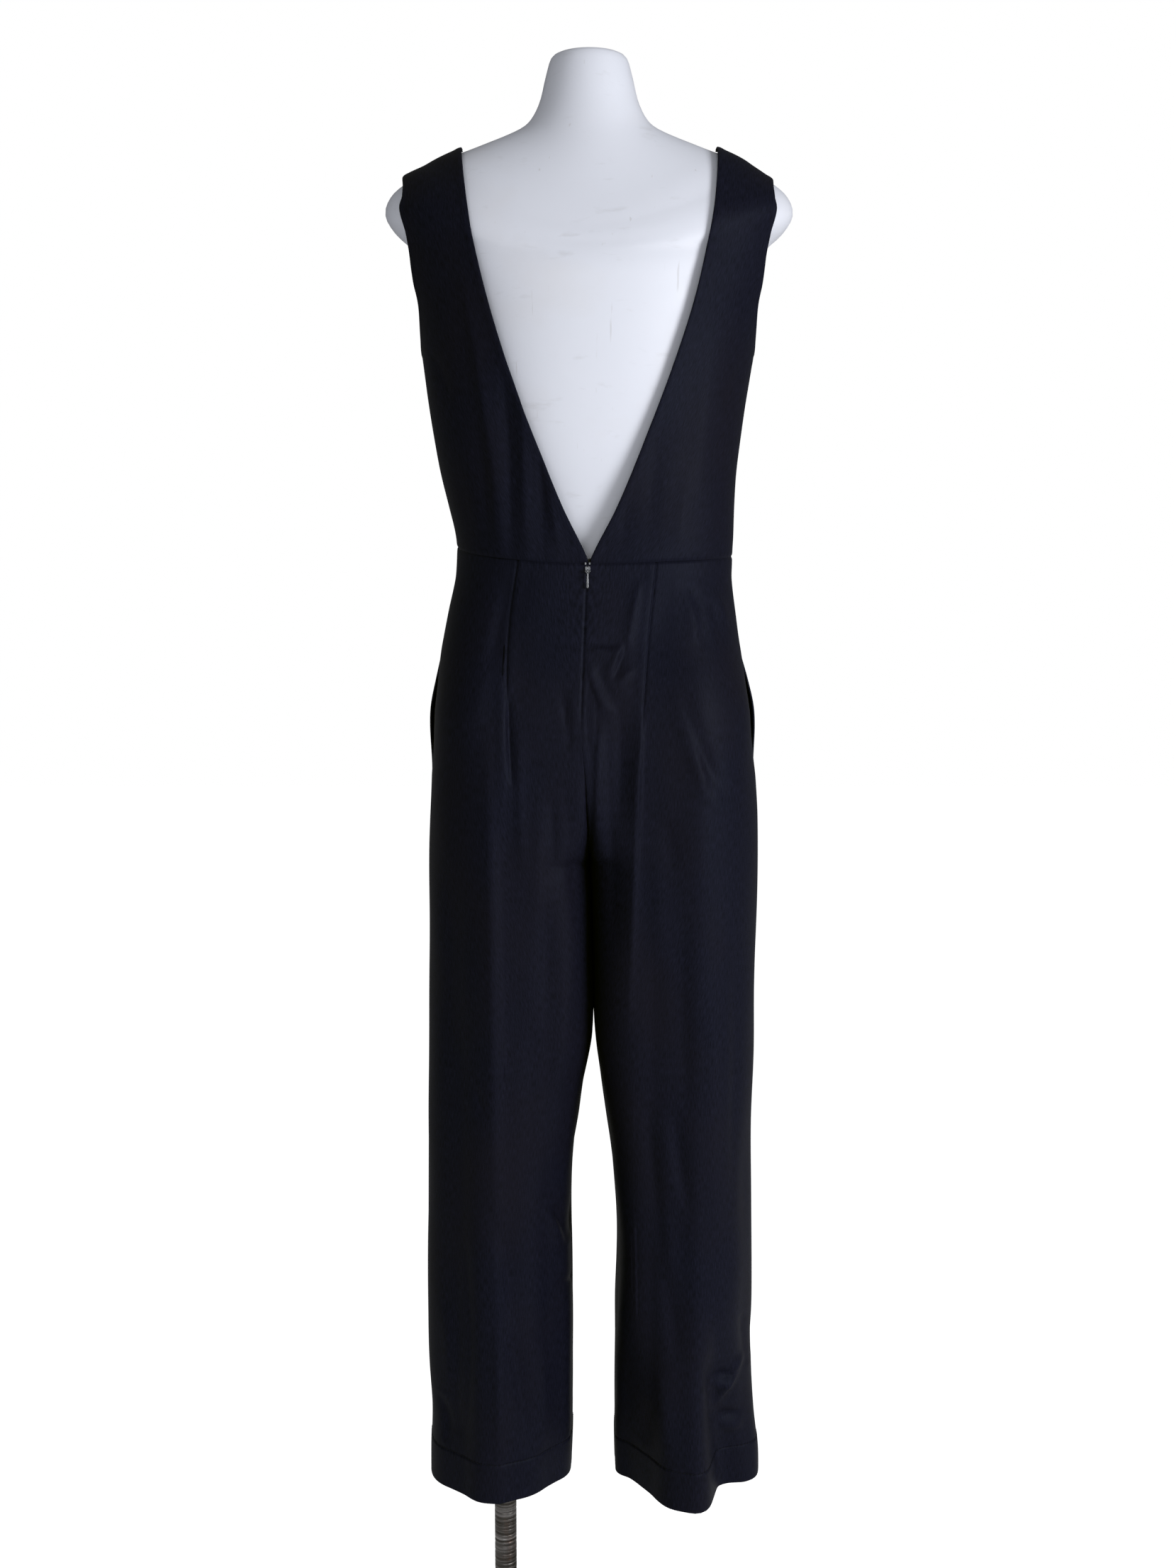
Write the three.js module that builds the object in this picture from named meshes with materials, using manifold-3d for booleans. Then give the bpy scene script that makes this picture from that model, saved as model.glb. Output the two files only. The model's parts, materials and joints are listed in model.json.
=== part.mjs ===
// Sleeveless long jumpsuit with an open V back, worn by a limbless dress form on a pole stand.
// Millimetres, +Z up. The garment's back faces +Y and the wearer's left is +X.
// The origin is the centre of the base plate's underside.

import * as THREE from 'three';
import { mergeVertices } from 'three/addons/utils/BufferGeometryUtils.js';
import Module from 'manifold-3d';

const wasm = await Module();
wasm.setup();

// Cloth
const CLOTH_WALL = 1.6;
const SEAM_GAP = 0.3;
const WAIST_BACK = 1277;
const WAIST_FRONT = 1284;
const WAIST_SIDE = { left: 1292, right: 1287 };
const HEM = { left: 268, right: 266 };
const CROTCH = 970;
const CROTCH_CURVE_TOP = 1100;
const CROTCH_CURVE_POWER = 2.3;
const LEG_BLEND_TOP = 1290;
const LEG_BLEND_BOTTOM = 1120;
const INNER_LEG_ROUND = 3.4;

// Sections below this level are level. Above it they tilt up from one centre, at 2 mm of level for
// each degree, so that they pass over the shoulders and up the neck.
const FAN_LEVEL = 1560;
const FAN_MM_PER_DEGREE = 2;
const UNDERARM_LEVEL = 1494;
const SHOULDER_TIP_LEVEL = 1624.6;
const SHOULDER_NECK_LEVEL = 1655;

// Pockets in the side seams
const POCKET_TOP = 1192;
const POCKET_MOUTH_BOTTOM = 1052;
const POCKET_BOTTOM = 945;
const POCKET_REACH = 0.42;
const POCKET_WALL = 0.9;
const POCKET_DEPTH = 3.8;
const POCKET_HOLLOW = 1.6;
const POCKET_PINCH = 0.5;
const POCKET_GAPE = 5.5;
const MOUTH_START = 0.77;
const MOUTH_FRONT_RISE = 3;
const MOUTH_BACK_SINK = 4.5;

// Concealed zip at the centre back
const ZIP_TAPE_WIDTH = 24;
const ZIP_TAPE_WALL = 0.9;
const ZIP_TAPE_BOTTOM = 1090;
const ZIP_TAPE_TOP = 1281;
const ZIP_TAPE_CLEARANCE = 0.5;
const SLIDER_X = 1.5;
const SLIDER_WIDTH = 5.4;
const SLIDER_HEIGHT = 7.5;
const SLIDER_PLATE = 1.2;
const SLIDER_EAR = 0.9;
const SLIDER_SEAT = 0.3;
const BAIL_RADIUS = 0.6;
const TAB_HINGE_Z = 1269;
const TAB_HINGE_STANDOFF = 2.4;
const TAB_EYE_INNER = 0.9;
const TAB_EYE_OUTER = 1.8;
const TAB_LENGTH = 17;
const TAB_TIP_WIDTH = 3.4;
const TAB_WALL = 1.1;
const TAB_SIDE_GAP = 0.3;

// Stand
const POLE_X = 95;
const POLE_RADIUS = 12.4;
const POLE_SIDES = 28;
const FLANGE_RADIUS = 28;
const FLANGE_HEIGHT = 16;
const BASE_RADIUS = 190;
const BASE_HEIGHT = 9;
const BASE_EDGE = 3;
const BASE_SIDES = 48;
const COLLAR_RADIUS = 26;
const COLLAR_HEIGHT = 34;
const FACE_GAP = 0.3;

// Dress form, half-width and depths of its sections from the bottom face to the neck
const FORM_SECTIONS = [
  { level: 1018, side: 128, front: 74, back: 80, round: 2.3 },
  { level: 1020, side: 137, front: 82, back: 88, round: 2.3 },
  { level: 1028, side: 146, front: 89, back: 96, round: 2.3 },
  { level: 1045, side: 153, front: 94, back: 103, round: 2.3 },
  { level: 1080, side: 156, front: 96, back: 107, round: 2.3 },
  { level: 1120, side: 153, front: 95, back: 106, round: 2.3 },
  { level: 1170, side: 142, front: 90, back: 98, round: 2.25 },
  { level: 1230, side: 127, front: 84, back: 84, round: 2.2 },
  { level: 1290, side: 119, front: 82, back: 78, round: 2.2 },
  { level: 1340, side: 123, front: 87, back: 81, round: 2.2 },
  { level: 1400, side: 135, front: 102, back: 90, round: 2.2 },
  { level: 1455, side: 146, front: 114, back: 95, round: 2.2 },
  { level: 1510, side: 154, front: 109, back: 97, round: 2.15 },
  { level: 1560, side: 166, front: 96, back: 97, round: 2.1 },
  { level: 1576, side: 179, front: 92.5, back: 97, round: 2.05 },
  { level: 1587, side: 191, front: 91, back: 97, round: 2 },
  { level: 1593, side: 211, front: 91, back: 97, round: 2 },
  { level: 1600, side: 225.5, front: 91, back: 97, round: 2 },
  { level: 1609, side: 227, front: 91.5, back: 98, round: 2 },
  { level: 1618, side: 220.5, front: 92.5, back: 99, round: 2 },
  { level: 1624, side: 213.5, front: 93, back: 100, round: 2 },
  { level: 1640, side: 203, front: 97, back: 104.5, round: 2 },
  { level: 1655, side: 190.5, front: 102, back: 111, round: 2 },
  { level: 1670, side: 182.5, front: 110, back: 121, round: 2 },
  { level: 1684, side: 178.5, front: 122.5, back: 135, round: 2 },
  { level: 1696, side: 179, front: 140, back: 152, round: 2 },
  { level: 1704, side: 186, front: 160, back: 168, round: 2 },
  { level: 1711, side: 200, front: 186, back: 190, round: 2 },
  { level: 1717, side: 222, front: 216, back: 217, round: 2 },
  { level: 1720.6, side: 235.5, front: 234, back: 234, round: 2 },
  { level: 1724, side: 238.2, front: 237.6, back: 237.6, round: 2 },
  { level: 1731, side: 237.6, front: 237.4, back: 237.4, round: 2 },
];
const FORM_TOP = 1797;
const FORM_LEVELS = [
  1018, 1020, 1028, 1045, 1080, 1120, 1170, 1230, 1290, 1340, 1400, 1455, 1510, 1545, 1566, 1578,
  1587, 1592, 1597,
  1604, 1611, 1618, 1626, 1635, 1645, 1656, 1668, 1682, 1694, 1703, 1711, 1717, 1720.6, 1724, 1731,
];

// Angles of the form's points round one side, closer together at the shoulder stub
const FORM_ANGLES = [0, 16, 32, 47, 60, 71, 79, 85, 90, 95, 101, 109, 120, 133, 148, 164, 180];

// Outer face of the cloth round the waist, shared by the bodice and the trousers
const WAIST_SECTIONS = [
  { level: 1262, left: 142.5, right: 152, front: 95.5, back: 100.5, round: 2.3 },
  { level: 1277, left: 141, right: 152, front: 95, back: 99.5, round: 2.3 },
  { level: 1292, left: 140, right: 152.2, front: 95, back: 99, round: 2.3 },
];

// Outer face of the bodice above the waist
const BODICE_SECTIONS = [
  ...WAIST_SECTIONS,
  { level: 1308, left: 141.5, right: 153, front: 96, back: 98.5, round: 2.3 },
  { level: 1338, left: 148.3, right: 153.8, front: 99.5, back: 98, round: 2.3 },
  { level: 1373, left: 156.3, right: 155.7, front: 106, back: 99, round: 2.25 },
  { level: 1409, left: 162.6, right: 159.8, front: 114, back: 101, round: 2.25 },
  { level: 1444, left: 168.2, right: 164.5, front: 121, back: 103, round: 2.2 },
  { level: 1479, left: 173.1, right: 170.1, front: 122.5, back: 104, round: 2.2 },
  { level: 1514, left: 178, right: 175.5, front: 117.5, back: 104.5, round: 2.15 },
  { level: 1549, left: 184, right: 182, front: 107, back: 104, round: 2.1 },
  { level: 1576, left: 197, right: 194.5, front: 99, back: 103.5, round: 2.05 },
  { level: 1590, left: 212, right: 210, front: 97, back: 103, round: 2 },
  { level: 1602, left: 232.5, right: 229.5, front: 96.5, back: 103, round: 2 },
  { level: 1609, left: 233, right: 231, front: 97, back: 103.5, round: 2 },
  { level: 1616, left: 229, right: 226, front: 97.5, back: 104, round: 2 },
  { level: 1624, left: 223, right: 219, front: 98, back: 105, round: 2 },
  { level: 1632, left: 213.8, right: 212.6, front: 100, back: 108, round: 2 },
  { level: 1640, left: 207.4, right: 207.4, front: 102.5, back: 111, round: 2 },
  { level: 1655, left: 194.8, right: 194.8, front: 108, back: 117.5, round: 2 },
  { level: 1670, left: 187, right: 187, front: 116, back: 127.5, round: 2 },
];

// Half-width of the open V at the back, by real height
const V_EDGE = [
  { height: 1270, left: 1.2, right: 1.2 },
  { height: 1282, left: 2.4, right: 2.4 },
  { height: 1333, left: 27.1, right: 28.5 },
  { height: 1400, left: 54.6, right: 56.2 },
  { height: 1466, left: 79, right: 81.4 },
  { height: 1532, left: 99.7, right: 103.2 },
  { height: 1598, left: 116, right: 119 },
  { height: 1630, left: 121.5, right: 125 },
  { height: 1662, left: 126, right: 128.5 },
  { height: 1703.6, left: 131.6, right: 131.6 },
];

// Angle of the armhole edge from the side line, by level
const ARMHOLE = [
  { level: 1494, angle: 0 },
  { level: 1508, angle: 5.5 },
  { level: 1535, angle: 9 },
  { level: 1560, angle: 10.5 },
  { level: 1590, angle: 12.5 },
  { level: 1602, angle: 13 },
  { level: 1609, angle: 12.5 },
  { level: 1617, angle: 8.5 },
  { level: 1624.6, angle: 0 },
];

// Front neckline, level of the edge by angle from the centre front
const NECKLINE = [
  { angle: 0, level: 1611 },
  { angle: 37, level: 1612 },
  { angle: 58, level: 1618 },
  { angle: 74, level: 1634 },
  { angle: 90, level: 1655 },
];

// Outer face of the trousers, half-widths at the sides and depths, by height
const TROUSER_SECTIONS = [
  { level: 240, left: 178.8, right: 192, front: 91, back: 92, round: 2.5 },
  { level: 290, left: 178.4, right: 190.5, front: 91, back: 92, round: 2.5 },
  { level: 340, left: 177.2, right: 185, front: 91.5, back: 92.5, round: 2.5 },
  { level: 410, left: 180.5, right: 181.5, front: 92, back: 93, round: 2.5 },
  { level: 530, left: 179.4, right: 181, front: 93, back: 95, round: 2.5 },
  { level: 648, left: 178, right: 179, front: 96, back: 99, round: 2.5 },
  { level: 783, left: 175.8, right: 180.2, front: 100, back: 106, round: 2.5 },
  { level: 916, left: 173.5, right: 181, front: 104, back: 114, round: 2.5 },
  { level: 1010, left: 171.5, right: 180.5, front: 107, back: 119, round: 2.45 },
  { level: 1065, left: 169.6, right: 177.5, front: 108, back: 120, round: 2.4 },
  { level: 1121, left: 168.5, right: 175.5, front: 108, back: 119, round: 2.4 },
  { level: 1157, left: 163, right: 169, front: 106, back: 115.5, round: 2.35 },
  { level: 1194, left: 156.5, right: 160.5, front: 103, back: 110, round: 2.3 },
  { level: 1230, left: 149.6, right: 155.5, front: 99, back: 105, round: 2.3 },
  ...WAIST_SECTIONS,
];

// Inner edge of each leg below the crotch and the centre seams above it, as distances from the centre
const INNER_EDGES = [
  { height: 240, left: 21, right: -30.6 },
  { height: 330, left: 18.5, right: -29 },
  { height: 450, left: 18.3, right: -29.8 },
  { height: 530, left: 19, right: -31.7 },
  { height: 589, left: 19.7, right: -29.2 },
  { height: 648, left: 16.2, right: -24.2 },
  { height: 687, left: 10.2, right: -18.8 },
  { height: 725, left: 4.6, right: -12.8 },
  { height: 764, left: -2.8, right: -7.4 },
  { height: 800, left: -4.5, right: -5.5 },
  { height: 870, left: -3.6, right: -4.4 },
  { height: 940, left: -2.1, right: -2.7 },
  { height: 985, left: 1.1, right: 0.7 },
  { height: 1060, left: 4.3, right: 3.9 },
  { height: 1105, left: 8.1, right: 7.7 },
  { height: 1160, left: 7, right: 6.6 },
  { height: 1212, left: 5, right: 4.6 },
  { height: 1290, left: 1.6, right: 1.2 },
];

// Share of its full depth that a back leg has at the hem, by place across the panel, and the height
// where the leg starts to narrow to it
const HEM_DEPTHS = {
  left: [
    { across: 0, share: 0.6 },
    { across: 0.22, share: 0.58 },
    { across: 0.33, share: 0.7 },
    { across: 0.46, share: 0.82 },
    { across: 0.54, share: 0.98 },
    { across: 0.6, share: 0.97 },
    { across: 0.74, share: 0.79 },
    { across: 1, share: 0.85 },
  ],
  right: [
    { across: 0, share: 0.75 },
    { across: 0.22, share: 0.74 },
    { across: 0.3, share: 0.8 },
    { across: 0.44, share: 0.98 },
    { across: 0.5, share: 1.06 },
    { across: 0.54, share: 1 },
    { across: 0.6, share: 0.74 },
    { across: 0.77, share: 0.74 },
    { across: 1, share: 0.9 },
  ],
};
const HEM_SHAPE_TOP = { left: 1000, right: 520 };

// Largest folds. 'at' is the place across the panel, 0 at the centre or inseam and 1 at the side,
// where the fold starts at the top, 'drift' is how far it wanders on the way down, 'width' is its
// half-width across the panel and 'rise' is how far it stands out.
const FOLDS = [
  { panel: 'trouser_back_left', top: 1275, bottom: 1010, at: 0.53, drift: 0.02, width: 0.1, rise: -3.5 },
  { panel: 'trouser_back_left', top: 1180, bottom: 240, at: 0.46, drift: 0.04, width: 0.12, rise: 5 },
  { panel: 'trouser_back_left', top: 1040, bottom: 240, at: 0.66, drift: 0.04, width: 0.12, rise: -7 },
  { panel: 'trouser_back_left', top: 900, bottom: 240, at: 0.82, drift: 0.02, width: 0.1, rise: 3 },
  { panel: 'trouser_back_right', top: 1275, bottom: 980, at: 0.48, drift: -0.08, width: 0.1, rise: -3.5 },
  { panel: 'trouser_back_right', top: 1110, bottom: 300, at: 0.23, drift: 0.02, width: 0.1, rise: -7 },
  { panel: 'trouser_back_right', top: 1100, bottom: 500, at: 0.38, drift: 0.03, width: 0.07, rise: 4 },
  { panel: 'trouser_back_right', top: 1150, bottom: 240, at: 0.6, drift: -0.04, width: 0.15, rise: 6 },
  { panel: 'trouser_back_right', top: 760, bottom: 300, at: 0.84, drift: -0.04, width: 0.1, rise: -4 },
  { panel: 'trouser_front_left', top: 1180, bottom: 240, at: 0.45, drift: 0.05, width: 0.16, rise: 6 },
  { panel: 'trouser_front_left', top: 980, bottom: 240, at: 0.75, drift: 0.02, width: 0.13, rise: -5 },
  { panel: 'trouser_front_right', top: 1200, bottom: 240, at: 0.42, drift: 0.1, width: 0.16, rise: 6 },
  { panel: 'trouser_front_right', top: 1000, bottom: 240, at: 0.74, drift: 0.04, width: 0.13, rise: -5 },
  { panel: 'bodice_back_left', top: 1450, bottom: 1277, at: 0.55, drift: -0.02, width: 0.22, rise: 2 },
  { panel: 'bodice_back_right', top: 1440, bottom: 1287, at: 0.5, drift: 0.04, width: 0.22, rise: 2 },
];

// Where the rows of wall points lie down each panel, as shares of its height
const TROUSER_ROWS = [
  0, 0.02, 0.055, 0.095, 0.135, 0.175, 0.205, 0.235, 0.26, 0.28, 0.3, 0.33, 0.37, 0.42, 0.47, 0.52,
  0.565, 0.61, 0.66,
  0.71, 0.76, 0.81, 0.85, 0.885, 0.92, 0.95, 0.975, 1,
];
const TROUSER_COLUMNS = 13;
const BODICE_BACK_ROWS = 20;
const BODICE_BACK_COLUMNS = 8;
const BODICE_FRONT_ROWS = 20;
const BODICE_FRONT_NECK_ROW = 11;
const BODICE_FRONT_COLUMNS = 9;

const QUARTER = Math.PI / 2;
const toRadians = THREE.MathUtils.degToRad;
const mix = THREE.MathUtils.lerp;
const smooth = THREE.MathUtils.smoothstep;

// A smooth curve through one column of a table, read at a value of its key column
function readTable(table, key, column, value) {
  const last = table.length - 1;
  if (value <= table[0][key]) return table[0][column];
  if (value >= table[last][key]) return table[last][column];
  let row = 0;
  while (value > table[row + 1][key]) row += 1;
  const slope = (index) => {
    const before = table[Math.max(index - 1, 0)];
    const after = table[Math.min(index + 1, last)];
    return (after[column] - before[column]) / (after[key] - before[key]);
  };
  const span = table[row + 1][key] - table[row][key];
  const t = (value - table[row][key]) / span;
  const start = table[row][column];
  const end = table[row + 1][column];
  return (
    start * (1 + 2 * t) * (1 - t) * (1 - t) +
    slope(row) * span * t * (1 - t) * (1 - t) +
    end * t * t * (3 - 2 * t) -
    slope(row + 1) * span * t * t * (1 - t)
  );
}

// Distance from the centre to a rounded section, at an angle from the front towards the left side
function reach(angle, side, front, back, round) {
  const depth = Math.cos(angle) > 0 ? front : back;
  const across = Math.abs(Math.sin(angle) / side) ** round;
  const along = Math.abs(Math.cos(angle) / depth) ** round;
  return (across + along) ** (-1 / round);
}

// Point of a section: level below the fan level, tilted above it
function sectionPoint(angle, level, distance) {
  const tilt = toRadians(Math.max(level - FAN_LEVEL, 0) / FAN_MM_PER_DEGREE);
  const flat = distance * Math.cos(tilt);
  const height = Math.min(level, FAN_LEVEL) + distance * Math.sin(tilt);
  return new THREE.Vector3(flat * Math.sin(angle), -flat * Math.cos(angle), height);
}

function formPoint(angle, level) {
  const size = (column) => readTable(FORM_SECTIONS, 'level', column, level);
  return sectionPoint(angle, level, reach(angle, size('side'), size('front'), size('back'), size('round')));
}

function bodicePoint(angle, level) {
  const size = (column) => readTable(BODICE_SECTIONS, 'level', column, level);
  const side = Math.sin(angle) >= 0 ? size('left') : size('right');
  return sectionPoint(angle, level, reach(angle, side, size('front'), size('back'), size('round')));
}

// Height of the waist seam, from the centre, where 'across' is 0, to the side, where it is 1
function waistHeight(side, face, across) {
  const centre = face > 0 ? WAIST_BACK : WAIST_FRONT;
  return mix(centre, WAIST_SIDE[side], across * across);
}

// Sum of the folds of one panel at a place on it
function foldRise(panel, across, height) {
  let rise = 0;
  for (const fold of FOLDS) {
    if (fold.panel !== panel) continue;
    const down = (fold.top - height) / (fold.top - fold.bottom);
    const centre = fold.at + fold.drift * down;
    const offset = (across - centre) / fold.width;
    const fade = smooth(down, 0, 0.3) * (1 - smooth(down, 0.85, 1.25));
    rise += fold.rise * fade * Math.exp(-offset * offset);
  }
  return rise;
}

// Grid of wall points over a surface, with the outer face on it. 'place' gives the surface's point
// for two values from 0 to 1, 'outward' is 1 or -1 so that the normals point out, and 'seams' names
// the edges that stay half a seam gap short.
function panelGrid({ place, columns, rows, thickness, outward, lift = () => 0, seams = [] }) {
  const step = 0.0015;
  const tangent = (u, v, du, dv) => {
    const a = place(Math.max(u - du, 0), Math.max(v - dv, 0));
    const b = place(Math.min(u + du, 1), Math.min(v + dv, 1));
    return b.sub(a);
  };
  const outer = [];
  const inner = [];
  for (const v of rows) {
    for (const u of columns) {
      const across = tangent(u, v, step, 0);
      const down = tangent(u, v, 0, step);
      const normal = across.cross(down).normalize().multiplyScalar(outward);
      const point = place(u, v).addScaledVector(normal, lift(u, v));
      outer.push(point);
      inner.push(point.clone().addScaledVector(normal, -thickness));
    }
  }
  const width = columns.length;
  const height = rows.length;
  for (const grid of [outer, inner]) {
    for (let row = 0; row < height; row += 1) {
      const start = row * width;
      const end = start + width - 1;
      if (seams.includes('first')) moveTowards(grid[start], grid[start + 1], SEAM_GAP / 2);
      if (seams.includes('last')) moveTowards(grid[end], grid[end - 1], SEAM_GAP / 2);
    }
    for (let column = 0; column < width; column += 1) {
      const top = (height - 1) * width + column;
      if (seams.includes('bottom')) moveTowards(grid[column], grid[column + width], SEAM_GAP / 2);
      if (seams.includes('top')) moveTowards(grid[top], grid[top - width], SEAM_GAP / 2);
    }
  }
  return { outer, inner, width, height, outward };
}

function moveTowards(point, target, distance) {
  const way = target.clone().sub(point);
  point.addScaledVector(way, distance / way.length());
}

// Closed mesh of one or more wall grids, joined where their points meet, with strips round the edges
function closedWall(...grids) {
  const outer = [];
  const inner = [];
  const known = new Map();
  const quads = [];
  for (const grid of grids) {
    const places = grid.outer.map((point, index) => {
      const key = point.toArray().map((value) => value.toFixed(3)).join();
      if (!known.has(key)) {
        known.set(key, outer.length);
        outer.push(point);
        inner.push(grid.inner[index]);
      }
      return known.get(key);
    });
    for (let row = 0; row + 1 < grid.height; row += 1) {
      for (let column = 0; column + 1 < grid.width; column += 1) {
        const a = row * grid.width + column;
        const corners = [a, a + 1, a + grid.width + 1, a + grid.width].map((index) => places[index]);
        quads.push(grid.outward > 0 ? corners : corners.reverse());
      }
    }
  }
  const layer = outer.length;
  const faces = [];
  const edges = new Set();
  for (const [a, b, c, d] of quads) {
    faces.push(a, b, c, a, c, d);
    faces.push(layer + a, layer + c, layer + b, layer + a, layer + d, layer + c);
    for (const edge of [[a, b], [b, c], [c, d], [d, a]]) edges.add(edge.join());
  }
  for (const edge of edges) {
    const [from, to] = edge.split(',').map(Number);
    if (edges.has(`${to},${from}`)) continue;
    faces.push(to, from, layer + from, to, layer + from, layer + to);
  }
  return meshGeometry([...outer, ...inner], faces);
}

function meshGeometry(points, faces) {
  const geometry = new THREE.BufferGeometry();
  const positions = points.flatMap((point) => [point.x, point.y, point.z]);
  geometry.setAttribute('position', new THREE.Float32BufferAttribute(positions, 3));
  geometry.setIndex(faces);
  return geometry;
}

const evenSteps = (count) => Array.from({ length: count + 1 }, (_, index) => index / count);

// Angle of the open V's edge on one back bodice, at a level
function vEdgeAngle(side, level) {
  const sign = side === 'left' ? 1 : -1;
  let near = Math.PI / 2;
  let far = Math.PI;
  for (let step = 0; step < 40; step += 1) {
    const middle = (near + far) / 2;
    const point = bodicePoint(sign * middle, level);
    const edge = readTable(V_EDGE, 'height', side, point.z);
    if (Math.abs(point.x) > edge) near = middle;
    else far = middle;
  }
  return (near + far) / 2;
}

// The same edge with its steps even in length. An edge gives [angle, level] for a value from 0 to 1.
function evenEdge(edge) {
  const samples = 300;
  const lengths = [0];
  let last = bodicePoint(...edge(0));
  for (let index = 1; index <= samples; index += 1) {
    const next = bodicePoint(...edge(index / samples));
    lengths.push(lengths[index - 1] + next.distanceTo(last));
    last = next;
  }
  return (v) => {
    const target = v * lengths[samples];
    let index = 0;
    while (index + 1 < samples && lengths[index + 1] < target) index += 1;
    const share = (target - lengths[index]) / (lengths[index + 1] - lengths[index]);
    return edge(Math.min((index + share) / samples, 1));
  };
}

// Patch between four edges
function patch(bottom, top, first, last) {
  return (u, v) => {
    const value = (index) =>
      (1 - v) * bottom(u)[index] +
      v * top(u)[index] +
      (1 - u) * first(v)[index] +
      u * last(v)[index] -
      (1 - u) * (1 - v) * bottom(0)[index] -
      u * (1 - v) * bottom(1)[index] -
      (1 - u) * v * top(0)[index] -
      u * v * top(1)[index];
    return [value(0), value(1)];
  };
}

// Side seam and armhole of one half bodice, and its shoulder seam. 'face' is 1 at the back.
function sideEdge(side, face) {
  const sideLine = face > 0 ? 1 : -1;
  return evenEdge((v) => {
    const level = mix(WAIST_SIDE[side], SHOULDER_TIP_LEVEL, v);
    const angle = level > UNDERARM_LEVEL ? readTable(ARMHOLE, 'level', 'angle', level) : 0;
    return [QUARTER + sideLine * toRadians(angle), level];
  });
}

const shoulderEdge = (u) => [QUARTER, mix(SHOULDER_NECK_LEVEL, SHOULDER_TIP_LEVEL, u)];

function backBodice(side) {
  const sign = side === 'left' ? 1 : -1;
  const centre = vEdgeAngle(side, WAIST_BACK);
  const inner = evenEdge((v) => {
    const level = mix(WAIST_BACK, SHOULDER_NECK_LEVEL, 1 - (1 - v) ** 2);
    return [v > 0.9999 ? QUARTER : vEdgeAngle(side, level), level];
  });
  const bottom = (u) => [mix(centre, QUARTER, u), waistHeight(side, 1, u)];
  const cut = patch(bottom, shoulderEdge, inner, sideEdge(side, 1));
  const grid = panelGrid({
    place: (u, v) => {
      const [angle, level] = cut(u, v);
      return bodicePoint(sign * angle, level);
    },
    columns: evenSteps(BODICE_BACK_COLUMNS),
    rows: evenSteps(BODICE_BACK_ROWS),
    thickness: CLOTH_WALL,
    outward: -sign,
    lift: (u, v) => foldRise(`bodice_back_${side}`, u, mix(WAIST_BACK, SHOULDER_TIP_LEVEL, v)),
    seams: ['bottom', 'top', 'last'],
  });
  return closedWall(grid);
}

// The front is one piece, made of two halves that meet on the centre line below the neckline
function frontBodice() {
  const neckRow = BODICE_FRONT_NECK_ROW / BODICE_FRONT_ROWS;
  const necklineCentre = NECKLINE[0].level;
  const neckline = evenEdge((t) => {
    const angle = 90 * (1 - (1 - t) ** 1.5);
    return [toRadians(angle), readTable(NECKLINE, 'angle', 'level', angle)];
  });
  const inner = (v) => {
    if (v <= neckRow) return [0, mix(WAIST_FRONT, necklineCentre, v / neckRow)];
    return neckline((v - neckRow) / (1 - neckRow));
  };
  const halves = ['left', 'right'].map((side) => {
    const sign = side === 'left' ? 1 : -1;
    const bottom = (u) => [mix(0, QUARTER, u), waistHeight(side, -1, u)];
    const cut = patch(bottom, shoulderEdge, inner, sideEdge(side, -1));
    return panelGrid({
      place: (u, v) => {
        const [angle, level] = cut(u, v);
        return bodicePoint(sign * angle, level);
      },
      columns: evenSteps(BODICE_FRONT_COLUMNS),
      rows: evenSteps(BODICE_FRONT_ROWS),
      thickness: CLOTH_WALL,
      outward: sign,
      seams: ['bottom', 'top', 'last'],
    });
  });
  return closedWall(...halves);
}

// Outer face of a trouser panel. 'across' runs from the centre seam or inseam to the side seam.
function trouserPoint(side, face, across, height) {
  const sign = side === 'left' ? 1 : -1;
  const size = (column) => readTable(TROUSER_SECTIONS, 'level', column, height);
  const outer = size(side);
  const depth = face > 0 ? size('back') : size('front');
  const round = size('round');
  const seam = readTable(INNER_EDGES, 'height', side, height) * sign;
  const angle = mix(Math.PI, Math.PI / 2, across);
  const ringReach = reach(angle, outer, depth, depth, round);
  const ringX = ringReach * Math.sin(angle) + seam * (1 - across) ** 2;
  const ringY = -ringReach * Math.cos(angle);
  const turn = Math.PI * across;
  const isInner = turn < Math.PI / 2;
  const power = 2 / (isInner ? INNER_LEG_ROUND : round);
  const along = Math.abs(Math.cos(turn)) ** power * (isInner ? 1 : -1);
  const rise = Math.abs(Math.sin(turn)) ** power;
  const below = THREE.MathUtils.clamp((CROTCH_CURVE_TOP - height) / (CROTCH_CURVE_TOP - CROTCH), 0, 1);
  const valley = isInner ? depth * (1 - below ** CROTCH_CURVE_POWER) ** (1 / CROTCH_CURVE_POWER) : 0;
  const legX = (outer + seam) / 2 - ((outer - seam) / 2) * along;
  const legY = valley + (depth - valley) * rise;
  const legShare = smooth(LEG_BLEND_TOP - height, 0, LEG_BLEND_TOP - LEG_BLEND_BOTTOM);
  const x = mix(ringX, legX, legShare) + mouthRise(face, across, height);
  const y = mix(ringY, legY, legShare) * (face > 0 ? hemNarrowing(side, across, height) : 1);
  return new THREE.Vector3(sign * x, face * y, height);
}

// Share of the full depth that a back leg has at a place on it
function hemNarrowing(side, across, height) {
  const nearHem = smooth(HEM_SHAPE_TOP[side] - height, 0, HEM_SHAPE_TOP[side] - HEM[side]);
  return mix(1, readTable(HEM_DEPTHS[side], 'across', 'share', across), nearHem);
}

// How far the pocket mouth is open at a height, from 0 to 1
function mouthOpen(height) {
  const down = (POCKET_TOP - height) / (POCKET_TOP - POCKET_MOUTH_BOTTOM);
  return down > 0 && down < 1 ? Math.sin(Math.PI * down) ** 1.5 : 0;
}

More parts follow.
